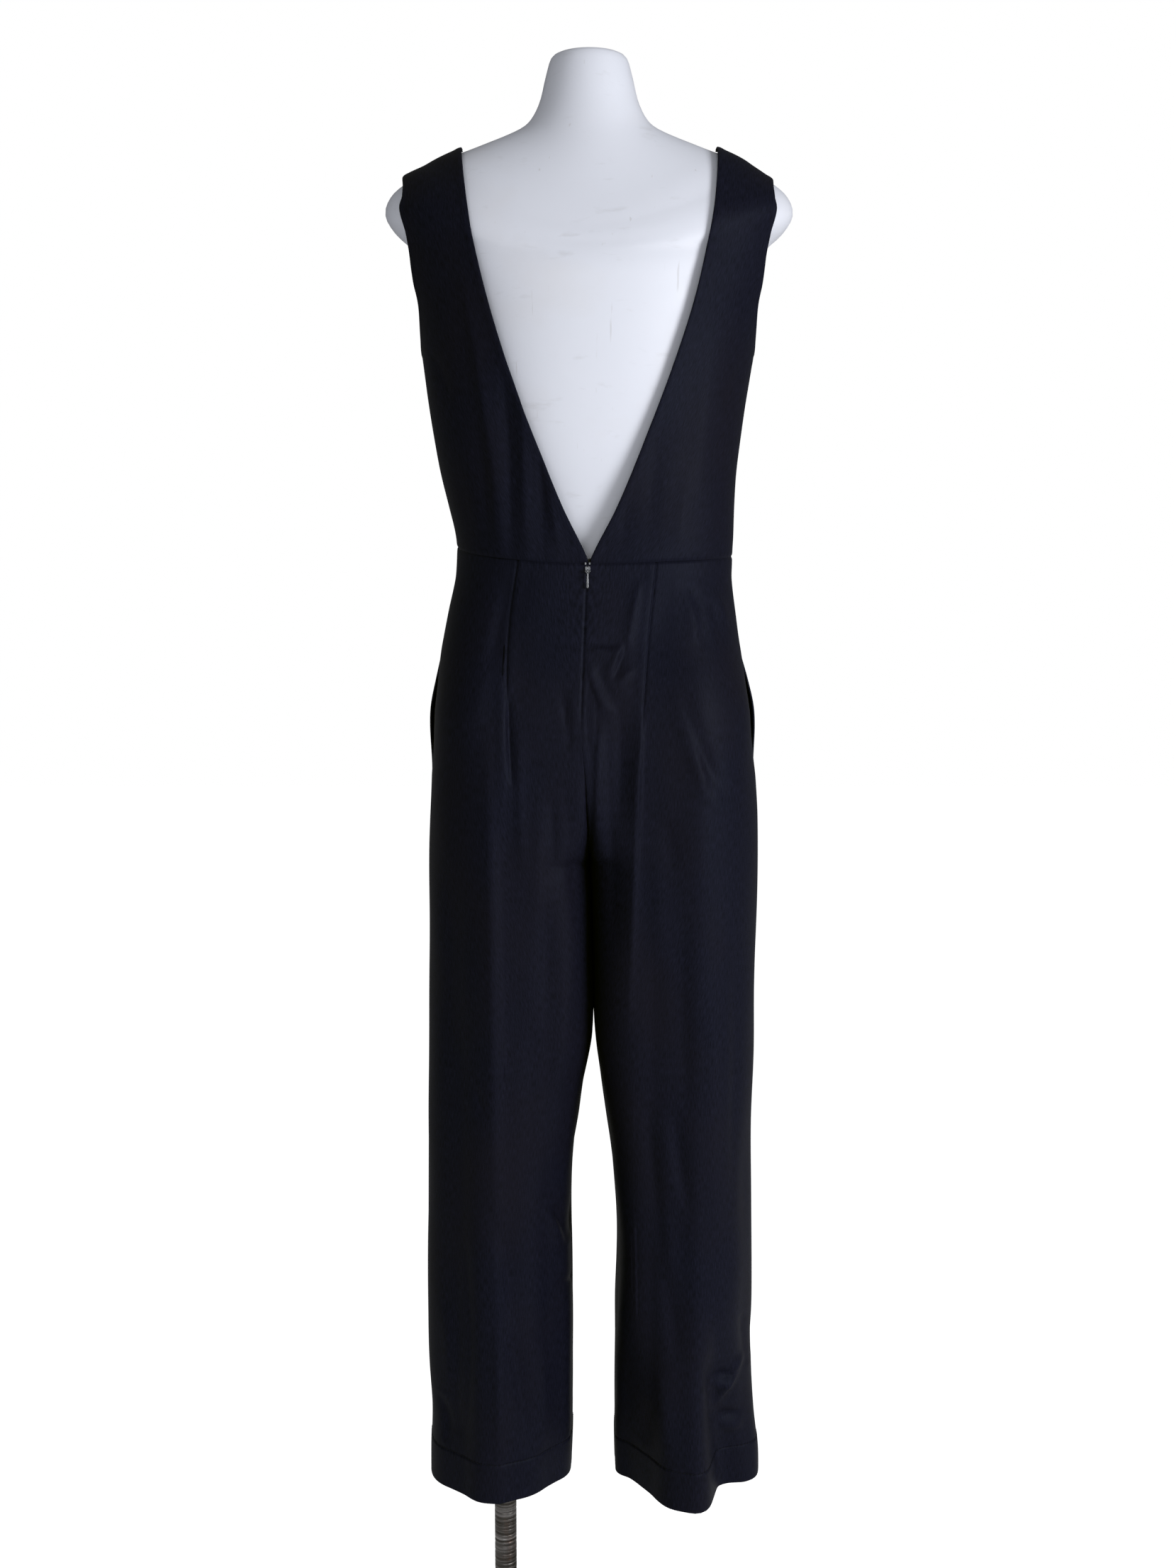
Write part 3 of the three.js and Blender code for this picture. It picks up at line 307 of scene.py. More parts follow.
# Creases seen from the back or the front, from one end to the other: half-width, how far they
# stand out, how far their middle is bent aside, and which flank is the softer one
CREASE_COLUMNS = "x_from z_from x_to z_to width rise bow lean"
CREASES = {
    "trouser_back_left": table(
        CREASE_COLUMNS,
        (100, 1180, 99, -200, 14, 4, 0, -0.3),
        (138, 1170, 142, -200, 24, -5, 0, 0),
        (40, 1060, 44, -200, 16, -3, 0, 0),
        (83, 1262, 110, 1160, 9, -1.5, 3, 0.5),
        (100, 1240, 116, 1110, 10, 1.3, 2, -0.3),
        (80, 1150, 77, 1050, 3.5, -2.6, -2, 0.4),
        (90, 1165, 90, 1010, 7, 2.2, 3, 0.2),
        (70, 1110, 66, 960, 7, 1.6, -2, 0),
        (30, 1155, 19, 1085, 5, -1.4, 2, 0.3),
        (16, 1150, 2, 985, 5, 2.2, 3, -0.3),
        (26, 1060, 12, 900, 7, -1.5, 2, 0.2),
        (38, 1045, 37, 950, 6, -1.8, 1, 0.3),
        (52, 1060, 56, 880, 9, 1.4, 2, 0),
        (44, 930, 46, 800, 9, -2.2, 2, 0.2),
        (22, 880, 40, 700, 8, 1.5, 4, 0),
        (103, 1100, 98, 640, 8, 2.0, 3, -0.5),
        (60, 820, 66, 600, 10, -1.5, 3, 0.2),
        (120, 735, 111, 700, 5, -1.6, 2, 0),
        (38, 592, 21, 540, 5, -3.0, 3, 0.4),
        (46, 600, 30, 536, 6, 2.0, 3, 0),
        (34, 500, 16, 488, 4, -1.8, 2, 0.2),
        (104, 600, 84, 470, 9, -2.4, 6, 0.3),
        (98, 470, 98, 320, 8, 2.4, 1, 0),
        (82, 452, 66, 318, 9, -3.2, 2, 0.3),
        (50, 440, 46, 312, 10, 1.8, 2, 0),
        (140, 560, 146, 330, 10, -2.2, 4, 0.2),
        (160, 480, 158, 380, 7, 1.8, 3, 0),
        (166, 372, 160, 318, 5, -2.4, 4, 0.2),
        (150, 980, 154, 700, 10, -1.6, 3, 0),
    ),
    "trouser_back_right": table(
        CREASE_COLUMNS,
        (-66, 1130, -64, -200, 14, -2.6, 0, 0),
        (-112, 1180, -116, -200, 18, 3.6, 0, 0.3),
        (4, 1200, -38, 1196, 3.2, -1.5, -3, 0.5),
        (2, 1194, -38, 1189, 5, 1.1, -3, 0.2),
        (-38, 1198, -23, 1158, 3.2, -1.6, 1, 0.4),
        (-33, 1200, -17, 1163, 4.5, 1.3, 1, 0),
        (3, 1182, -18, 1126, 4.5, 1.7, -2, 0.2),
        (-8, 1176, -30, 1130, 5, -1.6, -2, 0.3),
        (-52, 1262, -38, 1188, 5, 1.7, -1, 0),
        (-30, 1158, -48, 1172, 4, 1.3, 1, 0),
        (-1, 1168, 1, 960, 4.5, -4.2, -3, 0.7),
        (-12, 1120, -8, 1000, 6, 1.8, -2, 0),
        (-30, 1150, -28, 1010, 10, -2.2, 3, 0.2),
        (-54, 1130, -50, 1000, 5, 2.4, -2, -0.5),
        (-102, 1256, -118, 1190, 5, -1.5, 2, 0.3),
        (-96, 1250, -108, 1196, 5, 1.1, 2, 0),
        (-106, 1242, -113, 1206, 3.5, 1.2, 1, 0),
        (-122, 1238, -138, 1186, 5, -1.4, 3, 0.2),
        (-128, 1250, -143, 1214, 5, 1.2, 2, 0),
        (-92, 1150, -145, 1030, 5, -1.7, -4, 0.4),
        (-84, 1148, -136, 1020, 7, 1.3, -4, 0),
        (-110, 1096, -124, 1042, 4.5, -2.1, 2, 0.3),
        (-104, 1082, -116, 1040, 5, 1.4, 2, 0),
        (-76, 1020, -84, 960, 6, -1.5, 2, 0.2),
        (-66, 1000, -70, 860, 8, 1.5, 3, 0),
        (-46, 1085, -41, 800, 7, 2.6, 2, -0.6),
        (-96, 930, -106, 690, 9, -1.5, -4, 0.2),
        (-56, 720, -78, 530, 6, -1.8, 4, 0.3),
        (-64, 700, -88, 500, 8, 1.5, 4, 0),
        (-78, 540, -92, 430, 7, -1.8, 3, 0.2),
        (-88, 715, -106, 596, 5, -2.2, -3, 0.3),
        (-80, 700, -98, 590, 7, 1.5, -3, 0),
        (-150, 900, -152, 600, 8, -2.0, 3, 0.3),
        (-130, 870, -134, 560, 10, 1.8, -3, 0),
        (-134, 409, -164, 403, 4, -3.6, -3, 0.4),
        (-130, 400, -160, 392, 6, 2.8, -3, 0),
        (-133, 362, -174, 420, 6, 3.4, 4, 0.1),
        (-137, 358, -168, 350, 4.5, -3.4, -3, 0.3),
        (-141, 342, -172, 336, 6, 2.4, -2, 0),
        (-18, 1130, -24, 880, 13, -3.6, 0, 0.3),
        (-120, 440, -132, 340, 7, -2.0, 3, 0),
        (-168, 470, -176, 400, 5, -2.2, 3, 0),
        (-74, 420, -82, 320, 8, 1.8, 2, 0),
        (-60, 380, -56, 320, 6, -1.5, 2, 0),
    ),
    "trouser_front_left": table(
        CREASE_COLUMNS,
        (60, 1230, 86, 1150, 6, 1.6, 3, 0.2),
        (6, 1130, 44, 1060, 5, -2.0, 4, 0.3),
        (8, 1110, 52, 1030, 6, 1.7, 4, 0),
        (4, 1080, 36, 990, 5, -1.9, 4, 0.3),
        (96, 1180, 140, 1090, 6, -1.6, 4, 0.2),
        (84, 1060, 92, 760, 9, 2.0, 3, -0.3),
        (40, 980, 50, 760, 8, -2.0, 3, 0.2),
        (130, 960, 136, 650, 9, -1.8, 3, 0.2),
        (60, 740, 72, 500, 9, -2.0, 4, 0.2),
        (28, 640, 52, 560, 5, -2.4, 3, 0.4),
        (110, 560, 96, 380, 8, 2.0, 4, 0),
        (76, 430, 70, 310, 8, -2.2, 3, 0),
        (134, 440, 128, 330, 7, -2.0, 3, 0.2),
    ),
    "trouser_front_right": table(
        CREASE_COLUMNS,
        (-66, 1225, -92, 1140, 6, 1.5, -3, 0.2),
        (-6, 1126, -40, 1050, 5, -2.0, -4, 0.3),
        (-8, 1104, -50, 1020, 6, 1.6, -4, 0),
        (-4, 1070, -34, 980, 5, -1.8, -4, 0.3),
        (-100, 1176, -146, 1080, 6, -1.7, -4, 0.2),
        (-80, 1040, -92, 740, 9, 2.1, -3, -0.3),
        (-44, 960, -52, 740, 8, -2.0, -3, 0.2),
        (-134, 940, -140, 620, 9, -1.8, -3, 0.2),
        (-64, 720, -80, 480, 9, -2.0, -4, 0.2),
        (-36, 620, -60, 540, 5, -2.2, -3, 0.4),
        (-118, 540, -104, 360, 8, 1.9, -4, 0),
        (-84, 420, -78, 306, 8, -2.1, -3, 0),
        (-146, 420, -140, 320, 7, -1.9, -3, 0.2),
    ),
    "bodice_back_left": table(
        CREASE_COLUMNS,
        (130, 1570, 88, 1278, 9, 2.2, 6, 0.4),
        (86, 1470, 79, 1276, 6, -1.7, 2, 0.2),
        (68, 1450, 63, 1276, 6, 1.7, 1, 0),
        (51, 1400, 46, 1278, 6, -1.3, 1, 0),
        (42, 1352, 30, 1286, 4, 1.1, 1, 0.2),
        (112, 1420, 104, 1290, 7, -1.0, 3, 0),
        (166, 1496, 140, 1440, 7, -1.2, 3, 0),
        (138, 1380, 122, 1300, 10, -1.0, 3, 0),
    ),
    "bodice_back_right": table(
        CREASE_COLUMNS,
        (-130, 1520, -112, 1330, 12, 1.0, -5, 0.3),
        (-70, 1420, -62, 1290, 10, -0.9, -2, 0),
        (-104, 1380, -92, 1286, 9, 0.9, -3, 0.2),
        (-164, 1490, -138, 1430, 8, -1.1, -3, 0),
        (-40, 1340, -34, 1284, 6, -0.7, -1, 0),
    ),
    "bodice_front": table(
        CREASE_COLUMNS,
        (150, 1480, 92, 1440, 7, -1.8, -5, 0.3),
        (146, 1462, 88, 1426, 8, 1.4, -5, 0),
        (-150, 1484, -94, 1442, 7, -1.7, 5, 0.3),
        (-148, 1466, -90, 1424, 8, 1.4, 5, 0),
        (66, 1420, 62, 1290, 10, -1.4, 2, 0.2),
        (-62, 1424, -58, 1290, 10, -1.3, -2, 0.2),
        (30, 1390, 28, 1290, 10, 1.0, 2, 0),
        (-104, 1380, -100, 1296, 9, 1.1, -2, 0),
        (100, 1384, 104, 1296, 9, 1.1, 2, 0),
        (-40, 1596, 42, 1594, 9, 0.9, -6, 0),
    ),
}

# The line down each trouser panel that carries its waist dart and then its main fold
DART_LINES = {
    "trouser_back_left": table(
        "z x", (240, 92), (900, 82), (1075, 78), (1154, 83), (1225, 81), (1277, 73)
    ),
    "trouser_back_right": table(
        "z x", (240, 52), (796, 41), (935, 42), (1052, 52), (1134, 55), (1277, 68)
    ),
    "trouser_front_left": table("z x", (240, 92), (900, 84), (1150, 76), (1284, 66)),
    "trouser_front_right": table("z x", (240, 96), (900, 86), (1150, 78), (1284, 66)),
}
DART_ENDS = {
    "trouser_back_left": 1140,
    "trouser_back_right": 1120,
    "trouser_front_left": 1196,
    "trouser_front_right": 1190,
}

# Rings worn into the pole, by height: depth and half-width
POLE_RINGS = table(
    "height depth width",
    (140, 0.3, 1.2),
    (147, 0.2, 0.8),
    (151, 0.35, 0.9),
    (162, 0.35, 1.0),
    (172, 0.3, 1.4),
    (177, 0.4, 0.9),
    (181, 0.2, 0.5),
    (185, 0.25, 0.6),
    (188, 0.2, 0.5),
    (192, 0.25, 0.6),
    (196, 0.2, 0.5),
    (200, 0.25, 0.6),
    (204, 0.2, 0.5),
    (212, 0.4, 0.9),
    (221, 0.15, 0.8),
)

# Walls of the cloth, the room that it keeps to the form and the room where there is no form
TROUSER_WALL = 1.3
BODICE_WALL = 1.4
SKIN_ROOM = 0.4
OPEN_ROOM = 100

# How sharp the crest of a crease is: 1 is a ridge, 2 is round
CREASE_CREST = 1.5

# Points of the small sheets, along and down
POCKET_GRID = 61
TAPE_COLUMNS = 25
TAPE_ROWS = 97

# Slider plate and its ears, the two stops above it, and the tab
PLATE_WALL = 1.2
EAR_WALL = 0.9
STOP_WALL = 1.3
STOP_RISE = 2.4
STOP_ASIDE = 2.1
TAB_WALL = 1.1
EYE_OUTER = 1.8
EYE_INNER = 0.95
BAIL_RADIUS = 0.6

# Points round the turned parts of the stand
POLE_SIDES = 56
FITTING_SIDES = 64
BASE_SIDES = 128

CAMERA_SENSOR = 36
CAMERA_LENS = 37.43
CAMERA_ASIDE = 0.0011
FLOOR_REACH = 9.0

QUARTER = math.pi / 2


def mix(start, end, share):
    return start + (end - start) * share


def smooth(value, low, high):
    share = np.clip((value - low) / (high - low), 0, 1)
    return share * share * (3 - 2 * share)


def read_table(rows, column, at):
    """A smooth curve through one column of a table, read at values of its first column."""
    keys = rows[next(iter(rows))]
    values = rows[column]
    at = np.clip(at, keys[0], keys[-1])
    row = np.clip(np.searchsorted(keys, at, side="right") - 1, 0, len(keys) - 2)
    near_keys = np.concatenate((keys[:1], keys, keys[-1:]))
    near_values = np.concatenate((values[:1], values, values[-1:]))
    slopes = (near_values[2:] - near_values[:-2]) / (near_keys[2:] - near_keys[:-2])
    span = keys[row + 1] - keys[row]
    t = (at - keys[row]) / span
    start = values[row] * (1 + 2 * t) * (1 - t) ** 2 + slopes[row] * span * t * (1 - t) ** 2
    end = values[row + 1] * t * t * (3 - 2 * t) - slopes[row + 1] * span * t * t * (1 - t)
    return start + end


def reach(angle, side, front, back, roundness):
    """Distance from the centre to a rounded section, at an angle from the front to the left."""
    depth = np.where(np.cos(angle) > 0, front, back)
    across = np.abs(np.sin(angle) / side) ** roundness
    along = np.abs(np.cos(angle) / depth) ** roundness
    return (across + along) ** (-1 / roundness)


def section_point(angle, level, distance):
    """Point of a section: level below the fan level, tilted above it."""
    tilt = np.radians(np.maximum(level - FAN_LEVEL, 0) / FAN_MM_PER_DEGREE)
    flat = distance * np.cos(tilt)
    height = np.minimum(level, FAN_LEVEL) + distance * np.sin(tilt)
    return np.stack((flat * np.sin(angle), -flat * np.cos(angle), height), axis=-1)


def form_point(angle, level):
    sizes = (read_table(FORM_SECTIONS, column, level) for column in ("side", "front", "back", "round"))
    return section_point(angle, level, reach(angle, *sizes))


def bodice_point(angle, level):
    left, right, front, back, roundness = (
        read_table(BODICE_SECTIONS, column, level) for column in ("left", "right", "front", "back", "round")
    )
    side = np.where(np.sin(angle) >= 0, left, right)
    return section_point(angle, level, reach(angle, side, front, back, roundness))


def waist_height(side, face, across):
    centre = WAIST_BACK if face == BACK else WAIST_FRONT
    return mix(centre, WAIST_SIDE[side], across * across)


def hem_narrowing(side, across, height):
    """Share of the full depth that a back leg has at a place on it."""
    near_hem = smooth(HEM_SHAPE_TOP[side] - height, 0, HEM_SHAPE_TOP[side] - HEM[side])
    return mix(1, read_table(HEM_DEPTHS[side], "share", across), near_hem)


def mouth_open(height):
    """How far the pocket mouth is open at a height, from 0 to 1."""
    down = (POCKET_TOP - height) / (POCKET_TOP - POCKET_MOUTH_BOTTOM)
    return np.sin(math.pi * np.clip(down, 0, 1)) ** 1.5


def mouth_rise(face, across, height):
    """The mouth's front edge stands out and its back edge sinks in."""
    near_side = smooth(across, MOUTH_START, 1)
    return mouth_open(height) * near_side * (-MOUTH_BACK_SINK if face == BACK else MOUTH_FRONT_RISE)


def trouser_point(side, face, across, height):
    """Outer face of a trouser panel, from the centre seam or inseam to the side seam."""
    sign = SIGN[side]
    outer = read_table(TROUSER_SECTIONS, side, height)
    depth = read_table(TROUSER_SECTIONS, "back" if face == BACK else "front", height)
    roundness = read_table(TROUSER_SECTIONS, "round", height)
    seam = read_table(INNER_EDGES, side, height) * sign
    angle = mix(math.pi, QUARTER, across)
    ring_reach = reach(angle, outer, depth, depth, roundness)
    ring_x = ring_reach * np.sin(angle) + seam * (1 - across) ** 2
    ring_y = -ring_reach * np.cos(angle)
    turn = math.pi * across
    is_inner = turn < QUARTER
    power = 2 / np.where(is_inner, INNER_LEG_ROUND, roundness)
    along = np.abs(np.cos(turn)) ** power * np.where(is_inner, 1, -1)
    rise = np.abs(np.sin(turn)) ** power
    below = np.clip((CROTCH_CURVE_TOP - height) / (CROTCH_CURVE_TOP - CROTCH), 0, 1)
    curve = (1 - below**CROTCH_CURVE_POWER) ** (1 / CROTCH_CURVE_POWER)
    valley = np.where(is_inner, depth * curve, 0)
    leg_x = (outer + seam) / 2 - (outer - seam) / 2 * along
    leg_y = valley + (depth - valley) * rise
    leg_share = smooth(LEG_BLEND_TOP - height, 0, LEG_BLEND_TOP - LEG_BLEND_BOTTOM)
    x = mix(ring_x, leg_x, leg_share) + mouth_rise(face, across, height)
    y = mix(ring_y, leg_y, leg_share) * (hem_narrowing(side, across, height) if face == BACK else 1)
    return np.stack((sign * x, face * y, height + 0 * x), axis=-1)


def fold_rise(panel, across, height):
    rise = np.zeros(np.broadcast(across, height).shape)
    for top, bottom, at, drift, width, height_of_fold in zip(*FOLDS.get(panel, {"none": ()}).values()):
        down = (top - height) / (top - bottom)
        offset = (across - at - drift * down) / width
        fade = smooth(down, 0, 0.3) * (1 - smooth(down, 0.85, 1.25))
        rise += height_of_fold * fade * np.exp(-offset * offset)
    return rise


def crease_rise(panel, points):
    """Sum of a panel's soft creases at points of its surface."""
    rise = np.zeros(points.shape[:-1])
    for x_from, z_from, x_to, z_to, width, height, bow, lean in zip(*CREASES[panel].values()):
        run = np.array((x_to - x_from, z_to - z_from))
        length = np.hypot(*run)
        way = run / length
        x = points[..., 0] - x_from
        z = points[..., 2] - z_from
        along = np.clip((x * way[0] + z * way[1]) / length, 0, 1)
        aside = x * way[1] - z * way[0] - bow * 4 * along * (1 - along)
        flank = width * (1 + lean * np.tanh(aside / width))
        fade = np.sin(math.pi * along) ** 0.7
        rise += height * fade * np.exp(-(np.abs(aside / flank) ** CREASE_CREST))
    return rise


def form_clearance(points):
    """Room between a point below the fan level and the dress form."""
    x, y, z = np.moveaxis(points, -1, 0)
    sizes = (read_table(FORM_SECTIONS, column, z) for column in ("side", "front", "back", "round"))
    room = np.hypot(x, y) - reach(np.arctan2(x, -y), *sizes)
    return np.where(z > FORM_SECTIONS["level"][0], room, OPEN_ROOM)


def sway(points, seed, height=0.7):
    """Slow uneven waviness of hanging cloth."""
    x, y, z = np.moveaxis(points, -1, 0)
    girth = np.arctan2(x, y) * 150
    waves = ((61, 310, 0.4), (37, 190, 1.9), (23, 95, 3.1), (97, 140, 4.4))
    total = np.zeros(x.shape)
    for wave_across, wave_down, phase in waves:
        total += np.sin(girth / wave_across * 2 + seed + phase) * np.sin(z / wave_down * 4 + seed * 2 + phase)
    return height * total / 2


def groove(distance, width, depth):
    return -depth * np.exp(-((distance / width) ** 2))


def steps_near(count, *places, offsets=(0.002, 0.0045, 0.0075, 0.0115, 0.017)):
    """Even steps from 0 to 1 with closer ones beside the places given."""
    steps = [np.linspace(0, 1, count + 1)]
    for place in places:
        steps.extend((place + way * np.array((0, *offsets))) for way in (-1, 1))
    steps = np.concatenate(steps)
    return np.unique(np.round(steps[(steps >= 0) & (steps <= 1)], 5))


def path_lengths(points, axis):
    """Length along the rows or columns of a grid, from its first points."""
    spans = np.linalg.norm(np.diff(points, axis=axis), axis=-1)
    start = np.zeros_like(np.take(spans, [0], axis=axis))
    return np.concatenate((start, np.cumsum(spans, axis=axis)), axis=axis)


def grid_quads(rows, columns, outward):
    index = np.arange(rows * columns).reshape(rows, columns)
    quads = np.stack((index[:-1, :-1], index[:-1, 1:], index[1:, 1:], index[1:, :-1]), axis=-1).reshape(-1, 4)
    return quads if outward > 0 else quads[:, ::-1]


def surface_normals(points, quads):
    corners = [points[quads[:, corner]] for corner in range(4)]
    faces = np.cross(corners[2] - corners[0], corners[3] - corners[1])
    normals = np.zeros_like(points)
    for corner in range(4):
        np.add.at(normals, quads[:, corner], faces)
    return normals / np.linalg.norm(normals, axis=1, keepdims=True)


def open_edges(quads, count):
    """Edges that only one face has, each from its first point to its second."""
    starts = quads.ravel()
    ends = np.roll(quads, -1, axis=1).ravel()
    is_open = ~np.isin(starts * count + ends, ends * count + starts)
    return starts[is_open], ends[is_open]


def thicken(points, quads, wall):
    """Closed cloth wall with rounded edges, with the given surface as its outer face."""
    normals = surface_normals(points, quads)
    count = len(points)
    starts, ends = open_edges(quads, count)
    edge_way = np.zeros_like(points)
    run = points[ends] - points[starts]
    np.add.at(edge_way, starts, run)
    np.add.at(edge_way, ends, run)
    rim = np.unique(starts)
    aside = np.cross(edge_way[rim], normals[rim])
    aside /= np.linalg.norm(aside, axis=1, keepdims=True)
    inner = points - normals * wall
    middle = points[rim] - normals[rim] * wall / 2 + aside * wall / 2
    place = np.zeros(count, int)
    place[rim] = np.arange(len(rim)) + 2 * count
    first, last = place[starts], place[ends]
    faces = np.concatenate(
        (
            quads,
            quads[:, ::-1] + count,
            np.stack((ends, starts, first, last), axis=-1),
            np.stack((last, first, starts + count, ends + count), axis=-1),
        )
    )
    return np.concatenate((points, inner, middle)), faces, rim


def new_piece(name, points, faces, finish, body=GARMENT_BODY, uv=None):
    """Mesh object from points in millimetres, riding on a body of the frame."""
    mesh = bpy.data.meshes.new(name)
    mesh.from_pydata((np.asarray(points) * MM).tolist(), [], [list(face) for face in faces])
    if uv is not None:
        corners = np.empty(len(mesh.loops), int)
        mesh.loops.foreach_get("vertex_index", corners)
        layer = mesh.uv_layers.new(name="cut")
        layer.data.foreach_set("uv", (np.asarray(uv)[corners] * MM).ravel())
    mesh.shade_smooth()
    mesh.materials.append(finish)
    piece = bpy.data.objects.new(name, mesh)
    bpy.context.scene.collection.objects.link(piece)
    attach(piece, body)
    return piece


def cloth_piece(name, points, quads, uv, wall, finish):
    walled, faces, rim = thicken(points, quads, wall)
    return new_piece(name, walled, faces.tolist(), finish, uv=np.concatenate((uv, uv, uv[rim])))


def across_at(side, face, x, height):
    """Place across a trouser panel that lies at a distance x from the middle, for each height."""
    near = np.full_like(height, 0.03)
    far = np.full_like(height, 0.9)
    for _ in range(30):
        middle = (near + far) / 2
        is_short = np.abs(trouser_point(side, face, middle, height)[..., 0]) < x
        near = np.where(is_short, middle, near)
        far = np.where(is_short, far, middle)
    return (near + far) / 2


def even_across(side, face, height, line, share):
    """Places across a panel at even lengths on either side of its dart line, for each height."""
    beside = np.geomspace(1e-6, 0.02, 24)
    fine = np.unique(np.concatenate((np.linspace(0, 1, 401), 0.5 - beside, 0.5 + beside)))
    lengths = path_lengths(trouser_point(side, face, fine[None, :], height[:, None]), axis=1)
    rows = []
    for length, place in zip(lengths, line):
        targets = np.interp(share, (0, 0.5, 1), (0, np.interp(place, fine, length), length[-1]))
        rows.append(np.interp(targets, length, fine))
    return np.array(rows)


def panel_cut(across, height, run, fall):
    """Place of each point on the flat panel: its weave stays even past the crotch."""
    levels = (CROTCH_CURVE_TOP, HEM_SHAPE_TOP["right"])
    high, low = (int(np.argmin(np.abs(height[:, 0] - level))) for level in levels)
    above, below = (np.interp(across, across[row], run[row]) for row in (high, low))
    return np.stack((mix(below, above, smooth(height, 700, CROTCH_CURVE_TOP)), -fall), axis=-1)


def trouser_panel(side, face, finish, hem_depth, crease_depth):
    """One leg panel from the waist seam to the hem, with its dart, folds, creases and hem."""
    name = f"trouser_{FACE_NAMES[face]}_{side}"
    sign = SIGN[side]
    hem_share = hem_depth / (WAIST_BACK - HEM[side])
    down = steps_near(310, 0, 1, 1 - hem_share, offsets=(0.0006, 0.0013, 0.0022, 0.0034, 0.005))[:, None]
    middle_height = mix(waist_height(side, face, 0.5), HEM[side], down[:, 0])
    line = across_at(side, face, read_table(DART_LINES[name], "x", middle_height), middle_height)
    share = steps_near(88, 0, 0.5, 1)
    across = even_across(side, face, middle_height, line, share)
    height = mix(waist_height(side, face, across), HEM[side], down)
    points = trouser_point(side, face, across, height)
    rows, columns = across.shape
    quads = grid_quads(rows, columns, sign * face)

    run = path_lengths(points, axis=1)
    fall = path_lengths(points, axis=0)
    from_side = run[:, -1:] - run
    from_line = run - run[:, [int(np.argmin(np.abs(share - 0.5)))]]
    from_hem = height - HEM[side]
    dart = smooth(height, DART_ENDS[name] - 30, DART_ENDS[name] + 20)
    from_seams = np.minimum(run, from_side)
    lift = fold_rise(name, across, height) * smooth(from_seams, 0, 20)
    inside = 0.1 + 0.9 * smooth(from_seams, 0, 12)
    lift += crease_depth * crease_rise(name, points) * inside * smooth(fall, 0, 12)
    lift += sway(points, seed=1.7 * sign + 0.6 * face) * smooth(from_seams, 0, 18) * smooth(fall, 0, 25)
    touching = smooth(height, LEGS_TOUCH_BOTTOM - 40, LEGS_TOUCH_BOTTOM + 20)
    touching *= 1 - smooth(height, CROTCH_CURVE_TOP, CROTCH_CURVE_TOP + 40)
    lean = mix(0.7, 0.25, smooth(height, CROTCH + 10, CROTCH + 50))
    lift = mix(lift, lean, touching * np.exp(-((run / 9) ** 2)))
    lift += groove(run, 1.5, 1) * (1 - touching) + groove(from_side, 1.7, 1.1) + groove(fall, 1.8, 1.2)
    if face == BACK:
        over_tape = smooth(height, ZIP_TAPE_BOTTOM - 12, ZIP_TAPE_BOTTOM) * (1 - smooth(run, 13, 19))
        lift = np.maximum(lift, mix(-8, -1, over_tape))
    lift += dart * (groove(from_line, 1.3, 1.2) - groove(from_line + 5, 5, 0.7))
    lift += 0.6 * (1 - smooth(from_hem, hem_depth - 2, hem_depth + 2))
    lift += groove(from_hem - hem_depth, 1.2, 0.7) * (1 + 0.35 * np.sin(run / 2.3 + np.sin(run / 9)))
    lift = np.maximum(lift, TROUSER_WALL + SKIN_ROOM - form_clearance(points))

    flat = points.reshape(-1, 3)
    flat = flat + surface_normals(flat, quads) * lift.reshape(-1, 1)
    uv = panel_cut(across, height, run, fall).reshape(-1, 2)
    piece = cloth_piece(name + "_cloth", flat, quads, uv, TROUSER_WALL, finish)
    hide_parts(name)
    hem_row = int(np.argmin(np.abs(from_hem[:, columns // 2] - hem_depth)))
    stitch_line = flat.reshape(rows, columns, 3)[hem_row]
    return piece, stitch_line


def v_edge_angle(side, level):
    """Angle of the open V's edge on one back bodice, at a level."""
    sign = SIGN[side]
    near = np.full_like(level, QUARTER, dtype=float)
    far = np.full_like(level, math.pi, dtype=float)
    for _ in range(40):
        middle = (near + far) / 2
        point = bodice_point(sign * middle, level)
        is_wide = np.abs(point[..., 0]) > read_table(V_EDGE, side, point[..., 2])
        near = np.where(is_wide, middle, near)
        far = np.where(is_wide, far, middle)
    return (near + far) / 2


def even_edge(edge):
    """The same edge with its steps even in length."""
    samples = np.linspace(0, 1, 301)
    spans = np.linalg.norm(np.diff(bodice_point(*edge(samples)), axis=0), axis=1)
    lengths = np.concatenate(([0], np.cumsum(spans)))
    return lambda v: edge(np.interp(v * lengths[-1], lengths, samples))


def patch(bottom, top, first, last):
    """Patch between four edges, as angle and level for u along a row and v up a column."""
    zero, one = np.zeros(1), np.ones(1)

    def place(u, v):
        return [
            (1 - v) * bottom(u)[i] + v * top(u)[i] + (1 - u) * first(v)[i] + u * last(v)[i]
            - (1 - u) * (1 - v) * bottom(zero)[i] - u * (1 - v) * bottom(one)[i]
            - (1 - u) * v * top(zero)[i] - u * v * top(one)[i]
            for i in (0, 1)
        ]

    return place


def side_edge(side, face):
    """Side seam and armhole of one half bodice."""
    def edge(v):
        level = mix(WAIST_SIDE[side], SHOULDER_TIP_LEVEL, v)
        angle = np.where(level > UNDERARM_LEVEL, read_table(ARMHOLE, "angle", level), 0)
        return QUARTER + face * np.radians(angle), level

    return even_edge(edge)


def shoulder_edge(u):
    return QUARTER + 0 * u, mix(SHOULDER_NECK_LEVEL, SHOULDER_TIP_LEVEL, u)


def form_room(angle, level):
    """Room between the bodice and the dress form at an angle and a level."""
    return np.linalg.norm(bodice_point(angle, level) - form_point(angle, level), axis=-1)


